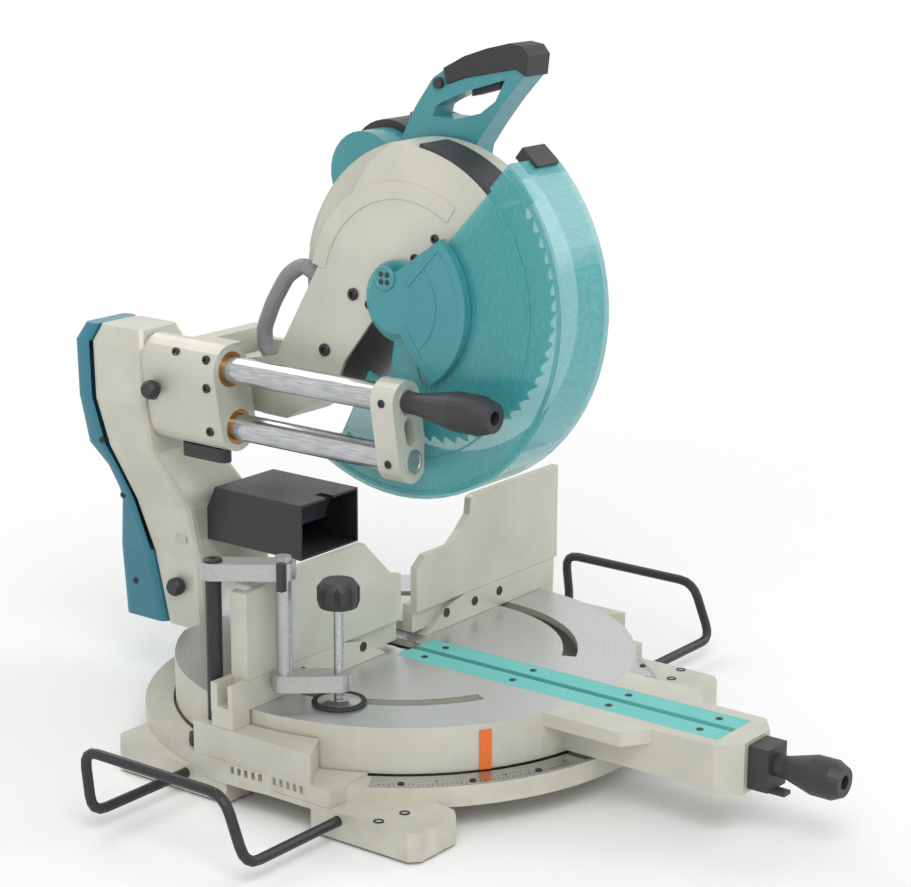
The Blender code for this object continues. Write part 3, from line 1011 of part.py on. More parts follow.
# Arbor and blade: the shaft that spins, with its flanges and the blade between them
BLADE_FLANGE = 0.025
FLANGE_THICK = 0.007
ARBOR_BOLT = 0.012
ARBOR_PULLEY = 0.030
ARBOR_NECK = 0.010
BELT_WIDTH = 0.012
CASE_LEFT_X = 0.0225
CASE_RIGHT_X = 0.062
CASE_WALL = 0.003
blade_side = BLADE_THICKNESS / 2 + GAP
belt_low = CASE_LEFT_X + CASE_WALL + RUNNING_GAP
belt_high = belt_low + BELT_WIDTH
ARBOR = carrier("arbor_spin", (0, *blade_axis), HEAD)
piece("arbor", STEEL, ARBOR, turned([
    (0, -blade_side - 2 * FLANGE_THICK), (ARBOR_BOLT, -blade_side - 2 * FLANGE_THICK),
    (ARBOR_BOLT, -blade_side - FLANGE_THICK), (BLADE_FLANGE, -blade_side - FLANGE_THICK),
    (BLADE_FLANGE, -blade_side), (ARBOR_RADIUS, -blade_side), (ARBOR_RADIUS, blade_side),
    (BLADE_FLANGE, blade_side), (BLADE_FLANGE, blade_side + FLANGE_THICK),
    (ARBOR_NECK, blade_side + FLANGE_THICK), (ARBOR_NECK, belt_low), (ARBOR_PULLEY, belt_low),
    (ARBOR_PULLEY, belt_high), (0, belt_high)], "X", blade_axis, 32))
# One tooth's outline, as shares of the tooth's pitch and of its depth
tooth_shares = [(0, 1), (0.15, 0.85), (0.6, 0.05), (0.92, 0)]
blade_points = []
for tooth in range(BLADE_TEETH):
    for pitch_share, depth_share in tooth_shares:
        turn = 2 * pi * (tooth + pitch_share) / BLADE_TEETH
        reach = BLADE_RADIUS - TOOTH_DEPTH * (1 - depth_share)
        blade_points.append((blade_axis[0] + reach * cos(turn), blade_axis[1] + reach * sin(turn)))
piece("blade", STEEL, ARBOR, prism(blade_points, "X", -BLADE_THICKNESS / 2, BLADE_THICKNESS / 2),
      cuts=[disc(ARBOR_RADIUS + GAP, "X", blade_axis, -OVERRUN, OVERRUN, 32)])

# Centre cover: the plate over the arbor's bolt, with the boss on which the lower guard turns
COVER_LEFT_X = -0.0615
COVER_RIGHT_X = -0.0535
COVER_BOSS = 0.029
COVER_HUB = 0.031
COVER_RADIUS = 0.090
COVER_BOSS_X = -0.0475
cover_outline = blade_arc(COVER_RADIUS, -60, 50, 14) + blade_arc(COVER_HUB, 84, 286, 16)
piece("centre_cover", TEAL, HEAD, prism(cover_outline, "X", COVER_LEFT_X, COVER_RIGHT_X),
      joins=[disc(COVER_BOSS, "X", blade_axis, COVER_RIGHT_X - CASE_WALL, COVER_BOSS_X, 32)],
      cuts=[disc(COVER_BOSS - CASE_WALL, "X", blade_axis, COVER_RIGHT_X + GAP, COVER_BOSS_X + OVERRUN, 32)])

# Lower guard: a clear shell that uncovers the blade as the head comes down
GUARD_RADIUS = 0.199
GUARD_WALL = 0.003
GUARD_LEFT_X = -0.0525
GUARD_RIGHT_X = 0.0222
GUARD_CHEEK = 0.085
GUARD_RIM_DEPTH = 0.034
GUARD_RING = 0.012
GUARD_START = -118
GUARD_END = 48
SPOKE_START = -98
SPOKE_END = -70
GUARD = carrier("guard_pivot", (GUARD_LEFT_X, *blade_axis), HEAD)
guard_shell = prism(blade_sector(GUARD_RADIUS - GUARD_RIM_DEPTH, GUARD_RADIUS, GUARD_START, GUARD_END, 30),
                    "X", GUARD_LEFT_X, GUARD_RIGHT_X)
guard_cheek = prism(blade_sector(GUARD_CHEEK, GUARD_RADIUS - GUARD_RIM_DEPTH / 2, GUARD_START + 1,
                                 GUARD_END - 1, 24), "X", GUARD_LEFT_X + GAP, GUARD_LEFT_X + GUARD_WALL)
ring_inner = COVER_BOSS + GAP
guard_ring = ring(ring_inner, ring_inner + GUARD_RING, "X", blade_axis, GUARD_LEFT_X + GAP / 2,
                  GUARD_LEFT_X + GUARD_WALL - GAP / 2, 32)
guard_spoke = prism(blade_sector(ring_inner + GUARD_RING / 2, GUARD_CHEEK + GUARD_RING / 2, SPOKE_START,
                                 SPOKE_END, 4), "X", GUARD_LEFT_X + GAP / 3, GUARD_LEFT_X + GUARD_WALL - GAP / 3)
guard_room = prism(blade_sector(BLADE_RADIUS - TOOTH_DEPTH, GUARD_RADIUS - GUARD_WALL, GUARD_START - 4,
                                GUARD_END + 4, 30), "X", GUARD_LEFT_X + GUARD_WALL, GUARD_RIGHT_X - GUARD_WALL)
piece("guard", CLEAR_TEAL, GUARD, guard_shell, joins=[guard_cheek, guard_spoke, guard_ring], cuts=[guard_room])

# Belt drive: a case on the casting's right with the motor's pulley, and the belt to the arbor
MOTOR_Y = 0.072
MOTOR_HEIGHT = 0.486
MOTOR_RADIUS = 0.052
MOTOR_LENGTH = 0.112
CASE_FRONT_RADIUS = 0.042
CASE_REAR_RADIUS = 0.044
MOTOR_PULLEY = 0.018
MOTOR_SHAFT = 0.006
ARMATURE_RADIUS = 0.030
BELT_THICK = 0.003
motor_axis = (MOTOR_Y, TABLE_HEIGHT + MOTOR_HEIGHT)


def belt_loop(first_radius, second_radius, steps=14):
    """The outline of a tight loop round the arbor and the motor's shaft"""
    span = hypot(motor_axis[0] - blade_axis[0], motor_axis[1] - blade_axis[1])
    heading = atan2(motor_axis[1] - blade_axis[1], motor_axis[0] - blade_axis[0])
    lean = acos((first_radius - second_radius) / span)
    return (arc(motor_axis, second_radius, heading - lean, heading + lean, steps)
            + arc(blade_axis, first_radius, heading + lean, heading + 2 * pi - lean, steps))


case_outer = belt_loop(CASE_FRONT_RADIUS, CASE_REAR_RADIUS)
case_inner = belt_loop(CASE_FRONT_RADIUS - CASE_WALL, CASE_REAR_RADIUS - CASE_WALL)
piece("belt_case", SILVER, HEAD, prism(case_outer, "X", CASE_LEFT_X, CASE_RIGHT_X),
      cuts=[prism(case_inner, "X", CASE_LEFT_X + CASE_WALL, CASE_RIGHT_X - CASE_WALL),
            disc(ARBOR_NECK + RUNNING_GAP, "X", blade_axis, CASE_LEFT_X - OVERRUN,
                 CASE_LEFT_X + 2 * CASE_WALL, 24),
            disc(MOTOR_SHAFT + RUNNING_GAP, "X", motor_axis, CASE_RIGHT_X - 2 * CASE_WALL,
                 CASE_RIGHT_X + OVERRUN, 20)])
loop_outer = belt_loop(ARBOR_PULLEY + GAP + BELT_THICK, MOTOR_PULLEY + GAP + BELT_THICK)
loop_inner = belt_loop(ARBOR_PULLEY + GAP, MOTOR_PULLEY + GAP)
piece("drive_belt", RUBBER, HEAD, prism(loop_outer, "X", belt_low, belt_high),
      cuts=[prism(loop_inner, "X", belt_low - OVERRUN, belt_high + OVERRUN)])
MOTOR = carrier("motor_spin", (CASE_RIGHT_X, *motor_axis), HEAD)
motor_end = CASE_RIGHT_X + GAP + MOTOR_LENGTH
piece("motor_pulley", STEEL, MOTOR, turned([
    (0, belt_low), (MOTOR_PULLEY, belt_low), (MOTOR_PULLEY, belt_high), (MOTOR_SHAFT, belt_high),
    (MOTOR_SHAFT, CASE_RIGHT_X + 3 * CASE_WALL), (0, CASE_RIGHT_X + 3 * CASE_WALL)], "X", motor_axis, 28))
armature_low = CASE_RIGHT_X + 3 * CASE_WALL + GAP
piece("motor_armature", COPPER, MOTOR, turned([
    (0, armature_low), (MOTOR_SHAFT, armature_low), (MOTOR_SHAFT, armature_low + CASE_WALL),
    (ARMATURE_RADIUS, armature_low + 2 * CASE_WALL), (ARMATURE_RADIUS, motor_end - 6 * CASE_WALL),
    (MOTOR_SHAFT, motor_end - 5 * CASE_WALL), (MOTOR_SHAFT, motor_end - CASE_WALL - GAP),
    (0, motor_end - CASE_WALL - GAP)], "X", motor_axis, 24))
motor_low = CASE_RIGHT_X + GAP
motor_bore = MOTOR_SHAFT + RUNNING_GAP
piece("motor_housing", BLACK, HEAD, turned([
    (motor_bore, motor_low), (MOTOR_RADIUS, motor_low), (MOTOR_RADIUS, motor_end - 4 * CASE_WALL),
    (MOTOR_RADIUS - 3 * CASE_WALL, motor_end), (0, motor_end), (0, motor_end - CASE_WALL),
    (MOTOR_RADIUS - 4 * CASE_WALL, motor_end - CASE_WALL),
    (MOTOR_RADIUS - CASE_WALL, motor_end - 5 * CASE_WALL), (MOTOR_RADIUS - CASE_WALL, motor_low + CASE_WALL),
    (motor_bore, motor_low + CASE_WALL)], "X", motor_axis, 40))

# Main handle: a moulded D with a soft grip, a trigger in its loop and a button on its side
HANDLE_LENGTH = 0.190
HANDLE_LEFT_X = 0.029
HANDLE_RIGHT_X = 0.061
GRIP_PROUD = 0.002
TRIGGER_SIDE = 0.008
BUTTON_RADIUS = 0.0055
BUTTON_LENGTH = 0.009
BUTTON_PROUD = 0.0045
HANDLE_ROOT_Y = 0.063
HANDLE_ROOT_HEIGHT = 0.478
handle_root = (HANDLE_ROOT_Y, TABLE_HEIGHT + HANDLE_ROOT_HEIGHT)
# Places from the handle's root, as shares of its length
handle_shares = [(0, 0), (-0.142, 0.174), (-0.279, 0.426), (-0.395, 0.584), (-0.5, 0.65), (-0.605, 0.695),
                 (-0.75, 0.745), (-0.895, 0.779), (-0.965, 0.77), (-1, 0.732), (-0.989, 0.632),
                 (-0.863, 0.495), (-0.753, 0.358), (-0.674, 0.247), (-0.568, -0.2), (-0.33, -0.2)]
loop_shares = [(-0.395, 0.384), (-0.41, 0.435), (-0.458, 0.463), (-0.605, 0.526), (-0.863, 0.605),
               (-0.8, 0.489), (-0.705, 0.421), (-0.542, 0.379)]
grip_shares = [(-0.47, 0.64), (-0.605, 0.71), (-0.75, 0.758), (-0.895, 0.793), (-0.975, 0.782),
               (-1.015, 0.735), (-1.002, 0.63), (-0.93, 0.665), (-0.605, 0.6), (-0.49, 0.56)]
trigger_shares = [(-0.62, 0.5), (-0.62, 0.545), (-0.8, 0.6), (-0.8, 0.55)]
pocket_shares = [(-0.62, 0.5), (-0.62, 0.571), (-0.8, 0.626), (-0.8, 0.55)]
button_share = (-0.44, 0.56)


def on_handle(shares):
    return [(handle_root[0] + HANDLE_LENGTH * back, handle_root[1] + HANDLE_LENGTH * up)
            for back, up in shares]


handle_middle = (HANDLE_LEFT_X + HANDLE_RIGHT_X) / 2
button_place = on_handle([button_share])[0]
piece("main_handle", TEAL, HEAD, prism(on_handle(handle_shares), "X", HANDLE_LEFT_X, HANDLE_RIGHT_X),
      cuts=[prism(on_handle(loop_shares), "X", HANDLE_LEFT_X - OVERRUN, HANDLE_RIGHT_X + OVERRUN),
            prism(grown(case_outer, GAP), "X", 0, CASE_RIGHT_X + OVERRUN),
            prism(grown(on_handle(grip_shares), 2 * GAP), "X", HANDLE_LEFT_X - OVERRUN, HANDLE_RIGHT_X + OVERRUN),
            prism(grown(on_handle(pocket_shares), GAP), "X", handle_middle - TRIGGER_SIDE - GAP,
                  handle_middle + TRIGGER_SIDE + GAP),
            disc(BUTTON_RADIUS + GAP, "X", button_place, HANDLE_LEFT_X - OVERRUN,
                 HANDLE_LEFT_X + BUTTON_LENGTH + GAP, 16)])
piece("handle_grip", BLACK, HEAD, prism(on_handle(grip_shares), "X", HANDLE_LEFT_X - GRIP_PROUD,
                                        HANDLE_RIGHT_X + GRIP_PROUD))
TRIGGER = carrier("trigger_travel", (handle_middle, *on_handle(trigger_shares)[1]), HEAD)
piece("trigger", BLACK, TRIGGER, prism(on_handle(trigger_shares), "X", handle_middle - TRIGGER_SIDE,
                                       handle_middle + TRIGGER_SIDE))
BUTTON = carrier("button_travel", (HANDLE_LEFT_X, *button_place), HEAD)
piece("lock_off_button", BLACK, BUTTON,
      disc(BUTTON_RADIUS, "X", button_place, HANDLE_LEFT_X - BUTTON_PROUD,
           HANDLE_LEFT_X + BUTTON_LENGTH - BUTTON_PROUD, 16))

# Carry handle: a bowed bar behind the casting's edge
CARRY_RADIUS = 0.0085
CARRY_X = -0.033
# Places behind and above the blade's axis, as shares of the blade's radius
carry_shares = [(0.72, 0.03), (0.92, 0.12), (1.06, 0.03), (1.19, -0.17), (1.28, -0.37), (1.26, -0.52),
                (1.12, -0.56)]
carry_run = [(CARRY_X, *place) for place in about_blade(carry_shares)]
piece("carry_handle", DARK_GREY, HEAD, bar(rounded_run(carry_run, CARRY_RADIUS, 3), CARRY_RADIUS, 12),
      cuts=[prism(grown(casting_outline, GAP), "X", CASTING_LEFT_X - OVERRUN, CASTING_RIGHT_X + OVERRUN)])
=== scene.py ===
import json
from math import cos, pi, radians, sin

import bmesh
import bpy
from mathutils import Matrix, Vector


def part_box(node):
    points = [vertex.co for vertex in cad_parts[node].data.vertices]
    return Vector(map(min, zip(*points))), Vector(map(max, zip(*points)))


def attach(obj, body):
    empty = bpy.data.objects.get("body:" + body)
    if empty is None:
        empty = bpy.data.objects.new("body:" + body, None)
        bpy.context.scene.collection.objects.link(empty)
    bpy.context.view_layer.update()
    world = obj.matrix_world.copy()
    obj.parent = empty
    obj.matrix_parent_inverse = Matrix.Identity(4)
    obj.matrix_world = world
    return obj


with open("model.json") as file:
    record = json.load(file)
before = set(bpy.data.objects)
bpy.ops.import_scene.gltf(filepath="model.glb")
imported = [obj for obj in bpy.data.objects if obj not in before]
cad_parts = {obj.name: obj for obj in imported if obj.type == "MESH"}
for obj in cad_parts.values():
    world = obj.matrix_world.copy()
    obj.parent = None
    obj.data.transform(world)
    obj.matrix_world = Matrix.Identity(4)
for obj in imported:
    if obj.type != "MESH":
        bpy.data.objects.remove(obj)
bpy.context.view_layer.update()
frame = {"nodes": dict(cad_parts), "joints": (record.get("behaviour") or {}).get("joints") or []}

# The camera: a long lens from the saw's front left, as far off as the photograph was taken. The
# anchor is where the table's middle lies in the photograph, in its pixels.
PHOTO_SIZE = (911, 887)
ANCHOR_PIXEL = (405.8, 644.6)
FOCAL_PIXELS = 2450
CAMERA_DISTANCE = 2.575
CAMERA_AZIMUTH = radians(-52.7)
CAMERA_HEIGHT = radians(14.6)
CAMERA_ROLL = radians(0.25)
SENSOR = 36

joints = {joint["name"]: joint for joint in frame["joints"]}
pivot = Vector(joints["mitre_swivel"]["pos_m"])
backwards = Vector((sin(CAMERA_AZIMUTH) * cos(CAMERA_HEIGHT), -cos(CAMERA_AZIMUTH) * cos(CAMERA_HEIGHT),
                    sin(CAMERA_HEIGHT)))
rightwards = (-backwards).cross(Vector((0, 0, 1))).normalized()
upwards = rightwards.cross(-backwards)
across = rightwards * cos(CAMERA_ROLL) + upwards * sin(CAMERA_ROLL)
above = upwards * cos(CAMERA_ROLL) - rightwards * sin(CAMERA_ROLL)
sight = (across * (ANCHOR_PIXEL[0] - PHOTO_SIZE[0] / 2) - above * (ANCHOR_PIXEL[1] - PHOTO_SIZE[1] / 2)
         - backwards * FOCAL_PIXELS).normalized()
lens = bpy.data.cameras.new("camera")
lens.sensor_width = SENSOR
lens.lens = FOCAL_PIXELS * SENSOR / PHOTO_SIZE[0]
camera = bpy.data.objects.new("camera", lens)
bpy.context.scene.collection.objects.link(camera)
turn = Matrix((across, above, backwards)).transposed().to_4x4()
camera.matrix_world = Matrix.Translation(pivot - sight * CAMERA_DISTANCE) @ turn
bpy.context.scene.camera = camera

# The studio: a white floor that runs into a white world, one large soft light from the upper left,
# a weaker one from the right, one behind and an even fill. The floor shows white far off but takes
# the saw's shadow, and only the camera and reflections see the world as full white.
FLOOR_SIZE = 6
FLOOR_GLOW = (0.7, 1.6)
WORLD_FILL = 0.62
SOFT_LIGHTS = [("key_light", (-1.6, -1.4, 2.3), 1.6, 34), ("side_light", (1.9, -1.2, 1.5), 1.2, 11),
               ("back_light", (0.4, 2.0, 2.0), 1.4, 14)]
LIT_POINT = Vector((0, 0, 0.3))

floor_mesh = bpy.data.meshes.new("floor")
floor_mesh.from_pydata([(x * FLOOR_SIZE, y * FLOOR_SIZE, 0) for x, y in ((-1, -1), (1, -1), (1, 1), (-1, 1))],
                       [], [(0, 1, 2, 3)])
floor = bpy.data.objects.new("floor", floor_mesh)
bpy.context.scene.collection.objects.link(floor)
world = bpy.data.worlds.new("studio")
world.use_nodes = True
bpy.context.scene.world = world
bpy.context.scene.view_settings.view_transform = "Standard"
for light_name, place, size, power in SOFT_LIGHTS:
    light = bpy.data.lights.new(light_name, "AREA")
    light.size = size
    light.energy = power
    lamp = bpy.data.objects.new(light_name, light)
    lamp.location = place
    lamp.rotation_euler = (LIT_POINT - Vector(place)).to_track_quat("-Z", "Y").to_euler()
    bpy.context.scene.collection.objects.link(lamp)


class Reading:
    """One output of a node, so that masks and heights are written as sums"""

    def __init__(self, link):
        self.link = link
        self.tree = link.id_data

    def sum(self, operation, other, swapped=False):
        node = self.tree.nodes.new("ShaderNodeMath")
        node.operation = operation
        for socket, value in zip(node.inputs, (other, self) if swapped else (self, other)):
            put(self.tree, socket, value)
        return Reading(node.outputs[0])

    def __add__(self, other):
        return self.sum("ADD", other)

    def __sub__(self, other):
        return self.sum("SUBTRACT", other)

    def __rsub__(self, other):
        return self.sum("SUBTRACT", other, True)

    def __mul__(self, other):
        return self.sum("MULTIPLY", other)

    def __gt__(self, other):
        return self.sum("GREATER_THAN", other)

    def __lt__(self, other):
        return self.sum("LESS_THAN", other)

    __radd__ = __add__
    __rmul__ = __mul__


def put(tree, socket, value):
    if isinstance(value, Reading):
        tree.links.new(value.link, socket)
    else:
        socket.default_value = value


class Surface:
    """A material under construction"""

    def __init__(self, name):
        self.material = bpy.data.materials.new(name)
        self.material.use_nodes = True
        self.tree = self.material.node_tree
        self.shader = self.tree.nodes.get("Principled BSDF")

    def node(self, kind, settings=None, output=0, **sockets):
        """One node: its settings, the output that is wanted, and its sockets by name or as _number"""
        made = self.tree.nodes.new(kind)
        for setting, value in (settings or {}).items():
            setattr(made, setting, value)
        for name, value in sockets.items():
            socket = made.inputs[int(name[1:])] if name.startswith("_") else made.inputs[name.replace("__", " ")]
            put(self.tree, socket, value)
        return Reading(made.outputs[output])

    def place(self):
        """Where a point lies on its piece"""
        return self.node("ShaderNodeTexCoord", output="Object")

    def noise(self, scale, detail=2, stretch=(1, 1, 1)):
        spread = self.node("ShaderNodeMapping", Vector=self.place(), Scale=stretch)
        return self.node("ShaderNodeTexNoise", Vector=spread, Scale=scale, Detail=detail)

    def band(self, value, low, high):
        """A value spread from 0 at low to 1 at high"""
        return self.node("ShaderNodeMapRange", {"clamp": True}, Value=value, From__Min=low, From__Max=high)

    def blend(self, share, first, second):
        return self.node("ShaderNodeMix", {"data_type": "RGBA"}, 2, _0=share, _6=first, _7=second)

    def vector(self, operation, first, second=(0, 0, 0), output=0):
        return self.node("ShaderNodeVectorMath", {"operation": operation}, output, _0=first, _1=second)

    def along(self, axis, vector=None):
        """One coordinate, 0 to 2, of a place"""
        return self.node("ShaderNodeSeparateXYZ", output=axis, Vector=vector or self.place())

    def streaks(self, distance, scale):
        """Noise that varies with one distance only"""
        return self.node("ShaderNodeTexNoise", {"noise_dimensions": "1D"}, W=distance, Scale=scale, Detail=2)

    def waves(self, distance, pitch):
        return (distance * (2 * pi / pitch)).sum("SINE", 0) * 0.5 + 0.5

    def relief(self, height, depth, strength=1.0):
        """Fine shape from a height in 0 to 1"""
        self.set(Normal=self.node("ShaderNodeBump", Height=height, Strength=strength, Distance=depth))

    def set(self, **sockets):
        for name, value in sockets.items():
            put(self.tree, self.shader.inputs[name.replace("_", " ")], value)


def rgb(red, green, blue):
    """A colour as a picture shows it, from 0 to 255, as the shader takes it"""
    return (*[(share / 12.92 if share <= 0.04045 else ((share + 0.055) / 1.055) ** 2.4)
              for share in (red / 255, green / 255, blue / 255)], 1)


WHITE = (1, 1, 1, 1)
paper = Surface("studio_floor")
paper.set(Roughness=0.9, Base_Color=paper.blend(paper.noise(3), rgb(250, 250, 250), rgb(252, 252, 252)))
far = paper.vector("LENGTH", paper.place(), output="Value")
glow = paper.node("ShaderNodeEmission", Color=WHITE, Strength=1.0)
joined = paper.node("ShaderNodeMixShader", _0=paper.band(far, *FLOOR_GLOW), _1=Reading(paper.shader.outputs[0]),
                    _2=glow)
paper.tree.links.new(joined.link, paper.tree.nodes["Material Output"].inputs["Surface"])
floor_mesh.materials.append(paper.material)
path = world.node_tree.nodes.new("ShaderNodeLightPath")
seen = (Reading(path.outputs["Is Camera Ray"]) + Reading(path.outputs["Is Transmission Ray"])
        + Reading(path.outputs["Is Glossy Ray"])).sum("MINIMUM", 1)
background = world.node_tree.nodes["Background"]
put(world.node_tree, background.inputs["Color"], WHITE)
put(world.node_tree, background.inputs["Strength"], seen * (1 - WORLD_FILL) + WORLD_FILL)

# The base is one aluminium casting with four lobes, hand arches and posts for the fence, sprayed
# silver-grey. The paint shows the casting's faint sand texture, a little unevenness of tone and
# patches of a darker, warmer tone towards the bottom.
PAINT = rgb(206, 205, 192)
PAINT_SHADED = rgb(190, 189, 177)
PAINT_LOW_TONE = rgb(178, 170, 152)
PAINT_SPECK = rgb(235, 234, 224)
LOW_TONE_HEIGHT = 0.16
SAND_DEPTH = 0.00012
ROUNDED_ABOVE = radians(35)
SHARP_ABOVE = radians(32)
nodes = frame["nodes"]


def finish(surface, **edges):
    """Give CAD nodes a material and each a rounded edge of its radius, or none for 0"""
    for name, radius in edges.items():
        node = nodes[name]
        node.data.materials.clear()
        node.data.materials.append(surface.material)
        if radius:
            rounding = node.modifiers.new("edges", "BEVEL")
            rounding.width = radius
            rounding.segments = 3
            rounding.limit_method = "ANGLE"
            rounding.angle_limit = ROUNDED_ABOVE
            rounding.harden_normals = True
            node.data.shade_smooth()
            node.data.set_sharp_from_angle(angle=SHARP_ABOVE)


paint = Surface("silver_paint")
cloud = paint.band(paint.noise(14, 4), 0.35, 0.7)
speck = paint.band(paint.noise(900, 2), 0.62, 0.74)
# Darker, warmer patches that grow towards the bottom of each piece.
low_tone = (1 - paint.band(paint.along(2), 0.0, LOW_TONE_HEIGHT)) * paint.band(paint.noise(38, 4), 0.45, 0.75)
painted = paint.blend(low_tone * 0.45, paint.blend(cloud * 0.7, PAINT, PAINT_SHADED), PAINT_LOW_TONE)
paint.set(Base_Color=paint.blend(speck * 0.18, painted, PAINT_SPECK), Roughness=cloud * 0.12 + 0.4, Metallic=0.25)
paint.relief(paint.noise(620, 3) * 0.8 + cloud * 0.2, SAND_DEPTH, 0.55)
finish(paint, base_casting=0.0013)


# The feet are black rubber pads pressed into the base's lobes, duller than the nylon parts and a
# little dusty. Their moulds leave a fine even grain.
def moulded(name, colour, faded, scale=850, grain=0.00009, rough=0.46, coat=0.0):
    """A plastic or rubber moulding with a fine grain, a little faded in patches"""
    made = Surface(name)
    cloud = made.band(made.noise(18, 3), 0.3, 0.75)
    fine = made.noise(scale, 2)
    tone = made.blend(cloud * 0.5 + made.band(fine, 0.4, 0.7) * 0.25, colour, faded)
    made.set(Base_Color=tone, Roughness=cloud * 0.1 + fine * 0.1 + rough - 0.08)
    if coat:
        made.set(Coat_Weight=made.band(cloud, -1.0, 1.0) * coat)
    made.relief(fine, grain, 0.5)
    return made


rubber = moulded("black_rubber", rgb(34, 34, 35), rgb(52, 51, 50), scale=500, grain=0.00014,
                 rough=0.66)
finish(rubber, rubber_foot_1=0, rubber_foot_2=0, rubber_foot_3=0, rubber_foot_4=0)

# The base is bolted to a bench through holes near its front corners. Each shows as a pressed rim of
# blackened steel round a shallow dish of the same dark steel that closes the hole: painted shade for
# the open hole's inside.
HOLE_PLACES = ((0.232, -0.183), (0.262, -0.176))
HOLE_RIM_AND_SHADE = [(0.0052, -0.002, False), (0.0052, 0.0006, False), (0.0042, 0.0009, False), (0.0034, 0.0009, False),
            (0.0032, -0.0012, False)]
CAST_FROM = 0.3
LEFT, RIGHT, FRONT, UP = Vector((-1, 0, 0)), Vector((1, 0, 0)), Vector((0, -1, 0)), Vector((0, 0, 1))


def at(x, y, height):
    """A place given from the mitre pivot on the table's face"""
    return pivot + Vector((x, y, height))


def surface_at(node, start, direction):
    """Where a line from start first meets a CAD node"""
    hit, place, _, _ = nodes[node].ray_cast(Vector(start), Vector(direction).normalized())
    if not hit:
        raise ValueError(f"no surface on {node} from {tuple(start)}")
    return place


def drawn_finish(name, light, dark, stretch, metallic=0.9, rough=0.3, grain=0.00006):
    """Fine marks along one direction, as on ground faces and drawn bar"""
    made = Surface(name)
    streak = made.noise(60, 4, stretch)
    cloud = made.noise(22, 3)
    tone = made.blend(made.band(streak, 0.3, 0.7) * 0.6 + cloud * 0.25, light, dark)
    made.set(Base_Color=tone, Metallic=metallic, Roughness=streak * 0.18 + cloud * 0.08 + rough - 0.12)
    made.relief(streak, grain, 0.4)
    return made


def make(name, mesh, surface, body, soften=0.0):
    """A piece of the scene that rides on a body, with softened edges where wanted"""
    bmesh.ops.recalc_face_normals(mesh, faces=mesh.faces)
    data = bpy.data.meshes.new(name)
    mesh.to_mesh(data)
    mesh.free()
    data.materials.append(surface.material)
    piece = bpy.data.objects.new(name, data)
    bpy.context.scene.collection.objects.link(piece)
    if soften:
        bevel = piece.modifiers.new("edges", "BEVEL")
        bevel.width = soften
        bevel.segments = 2
        bevel.limit_method = "ANGLE"
        bevel.harden_normals = True
    data.shade_smooth()
    data.set_sharp_from_angle(angle=radians(40))
    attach(piece, body)


def lathe(mesh, profile, place, direction, steps=24, recess=None):
    """Rings of (radius, height, shaped) turned about a line; shaped rings take the recess's outline"""
    turn = Vector(direction).to_track_quat("Z", "Y").to_matrix()
    rings = []
    for radius, height, shaped in profile:
        ring = []
        for step in range(steps):
            angle = 2 * pi * step / steps
            share = recess(angle) if shaped else 1
            point = Vector((radius * share * cos(angle), radius * share * sin(angle), height))
            ring.append(mesh.verts.new(Vector(place) + turn @ point))
        rings.append(ring)
    for first, second in zip(rings, rings[1:]):
        for step in range(steps):
            after = (step + 1) % steps
            mesh.faces.new((first[step], first[after], second[after], second[step]))
    mesh.faces.new(rings[0][::-1])
    mesh.faces.new(rings[-1])


black_steel = drawn_finish("black_steel", rgb(44, 44, 46), rgb(62, 62, 64), (9, 9, 1), metallic=0.45,
                           rough=0.4)
# Each rim closes in a dark dish: painted shade for the inside of the open hole.
hole_rims_and_shade = bmesh.new()
for side in (-1, 1):
    for x, y in HOLE_PLACES:
        lathe(hole_rims_and_shade, HOLE_RIM_AND_SHADE, surface_at("base_casting", at(side * x, y, CAST_FROM), -UP), UP)
make("bench_hole_rims_and_shade", hole_rims_and_shade, black_steel, "base")

# The mitre scale is a stamped steel plate screwed down on the base's ledge, round the bolt that the
# table turns on. Its degree marks and numbers are pressed in and filled with black, and small
# cross-head screws hold it down.
MARK_HALF_WIDTH = 0.00028
MARK_PROUD = 0.00012
MARK_INSET = 0.0012
MARK_LENGTHS = (0.0075, 0.0052, 0.0034)
SCALE_END = 57
NUMBER_SIZE = 0.0042
NUMBER_INSET = 0.0098
NUMBERED = (-45, -30, -15, 0, 15, 30, 45)
SCALE_SCREW_HEAD = (0.0034, 0.0012)
SCALE_SCREW_INSET = 0.006
SCALE_SCREW_DEGREES = (-52.5, -37.5, -22.5, -7.5, 7.5, 22.5, 37.5, 52.5)


def box_sides(mesh, rows):
    """The four sides and two ends between two rows of four corners"""
    mesh.faces.new(rows[1])
    mesh.faces.new(rows[0][::-1])
    for first in range(4):
        after = (first + 1) % 4
        mesh.faces.new((rows[0][first], rows[0][after], rows[1][after], rows[1][first]))


def cross(angle):
    return 1 - 0.62 * abs(sin(2 * angle)) ** 0.5


def head_profile(radius, height):
    """A turned screw head with a chamfer and a recess"""
    return [(radius, -height * 0.3, False), (radius, height * 0.75, False), (radius * 0.88, height, False),
            (radius * 0.52, height, True), (radius * 0.5, height * 0.35, True)]


def screws(name, places, direction, head, body, recess):
    """Black screws at places, each with a head of (radius, height)"""
    mesh = bmesh.new()
    for place in places:
        lathe(mesh, head_profile(*head), place, direction, recess=recess)
    make(name, mesh, black_steel, body)


def on_scale(degree, inset):
    """A place on the scale, from its rim inwards at an angle of mitre"""
    turned = Matrix.Rotation(radians(degree), 3, "Z")
    return Vector((pivot.x, pivot.y, scale_top)) + turned @ Vector((0, -scale_outer + inset, 0))


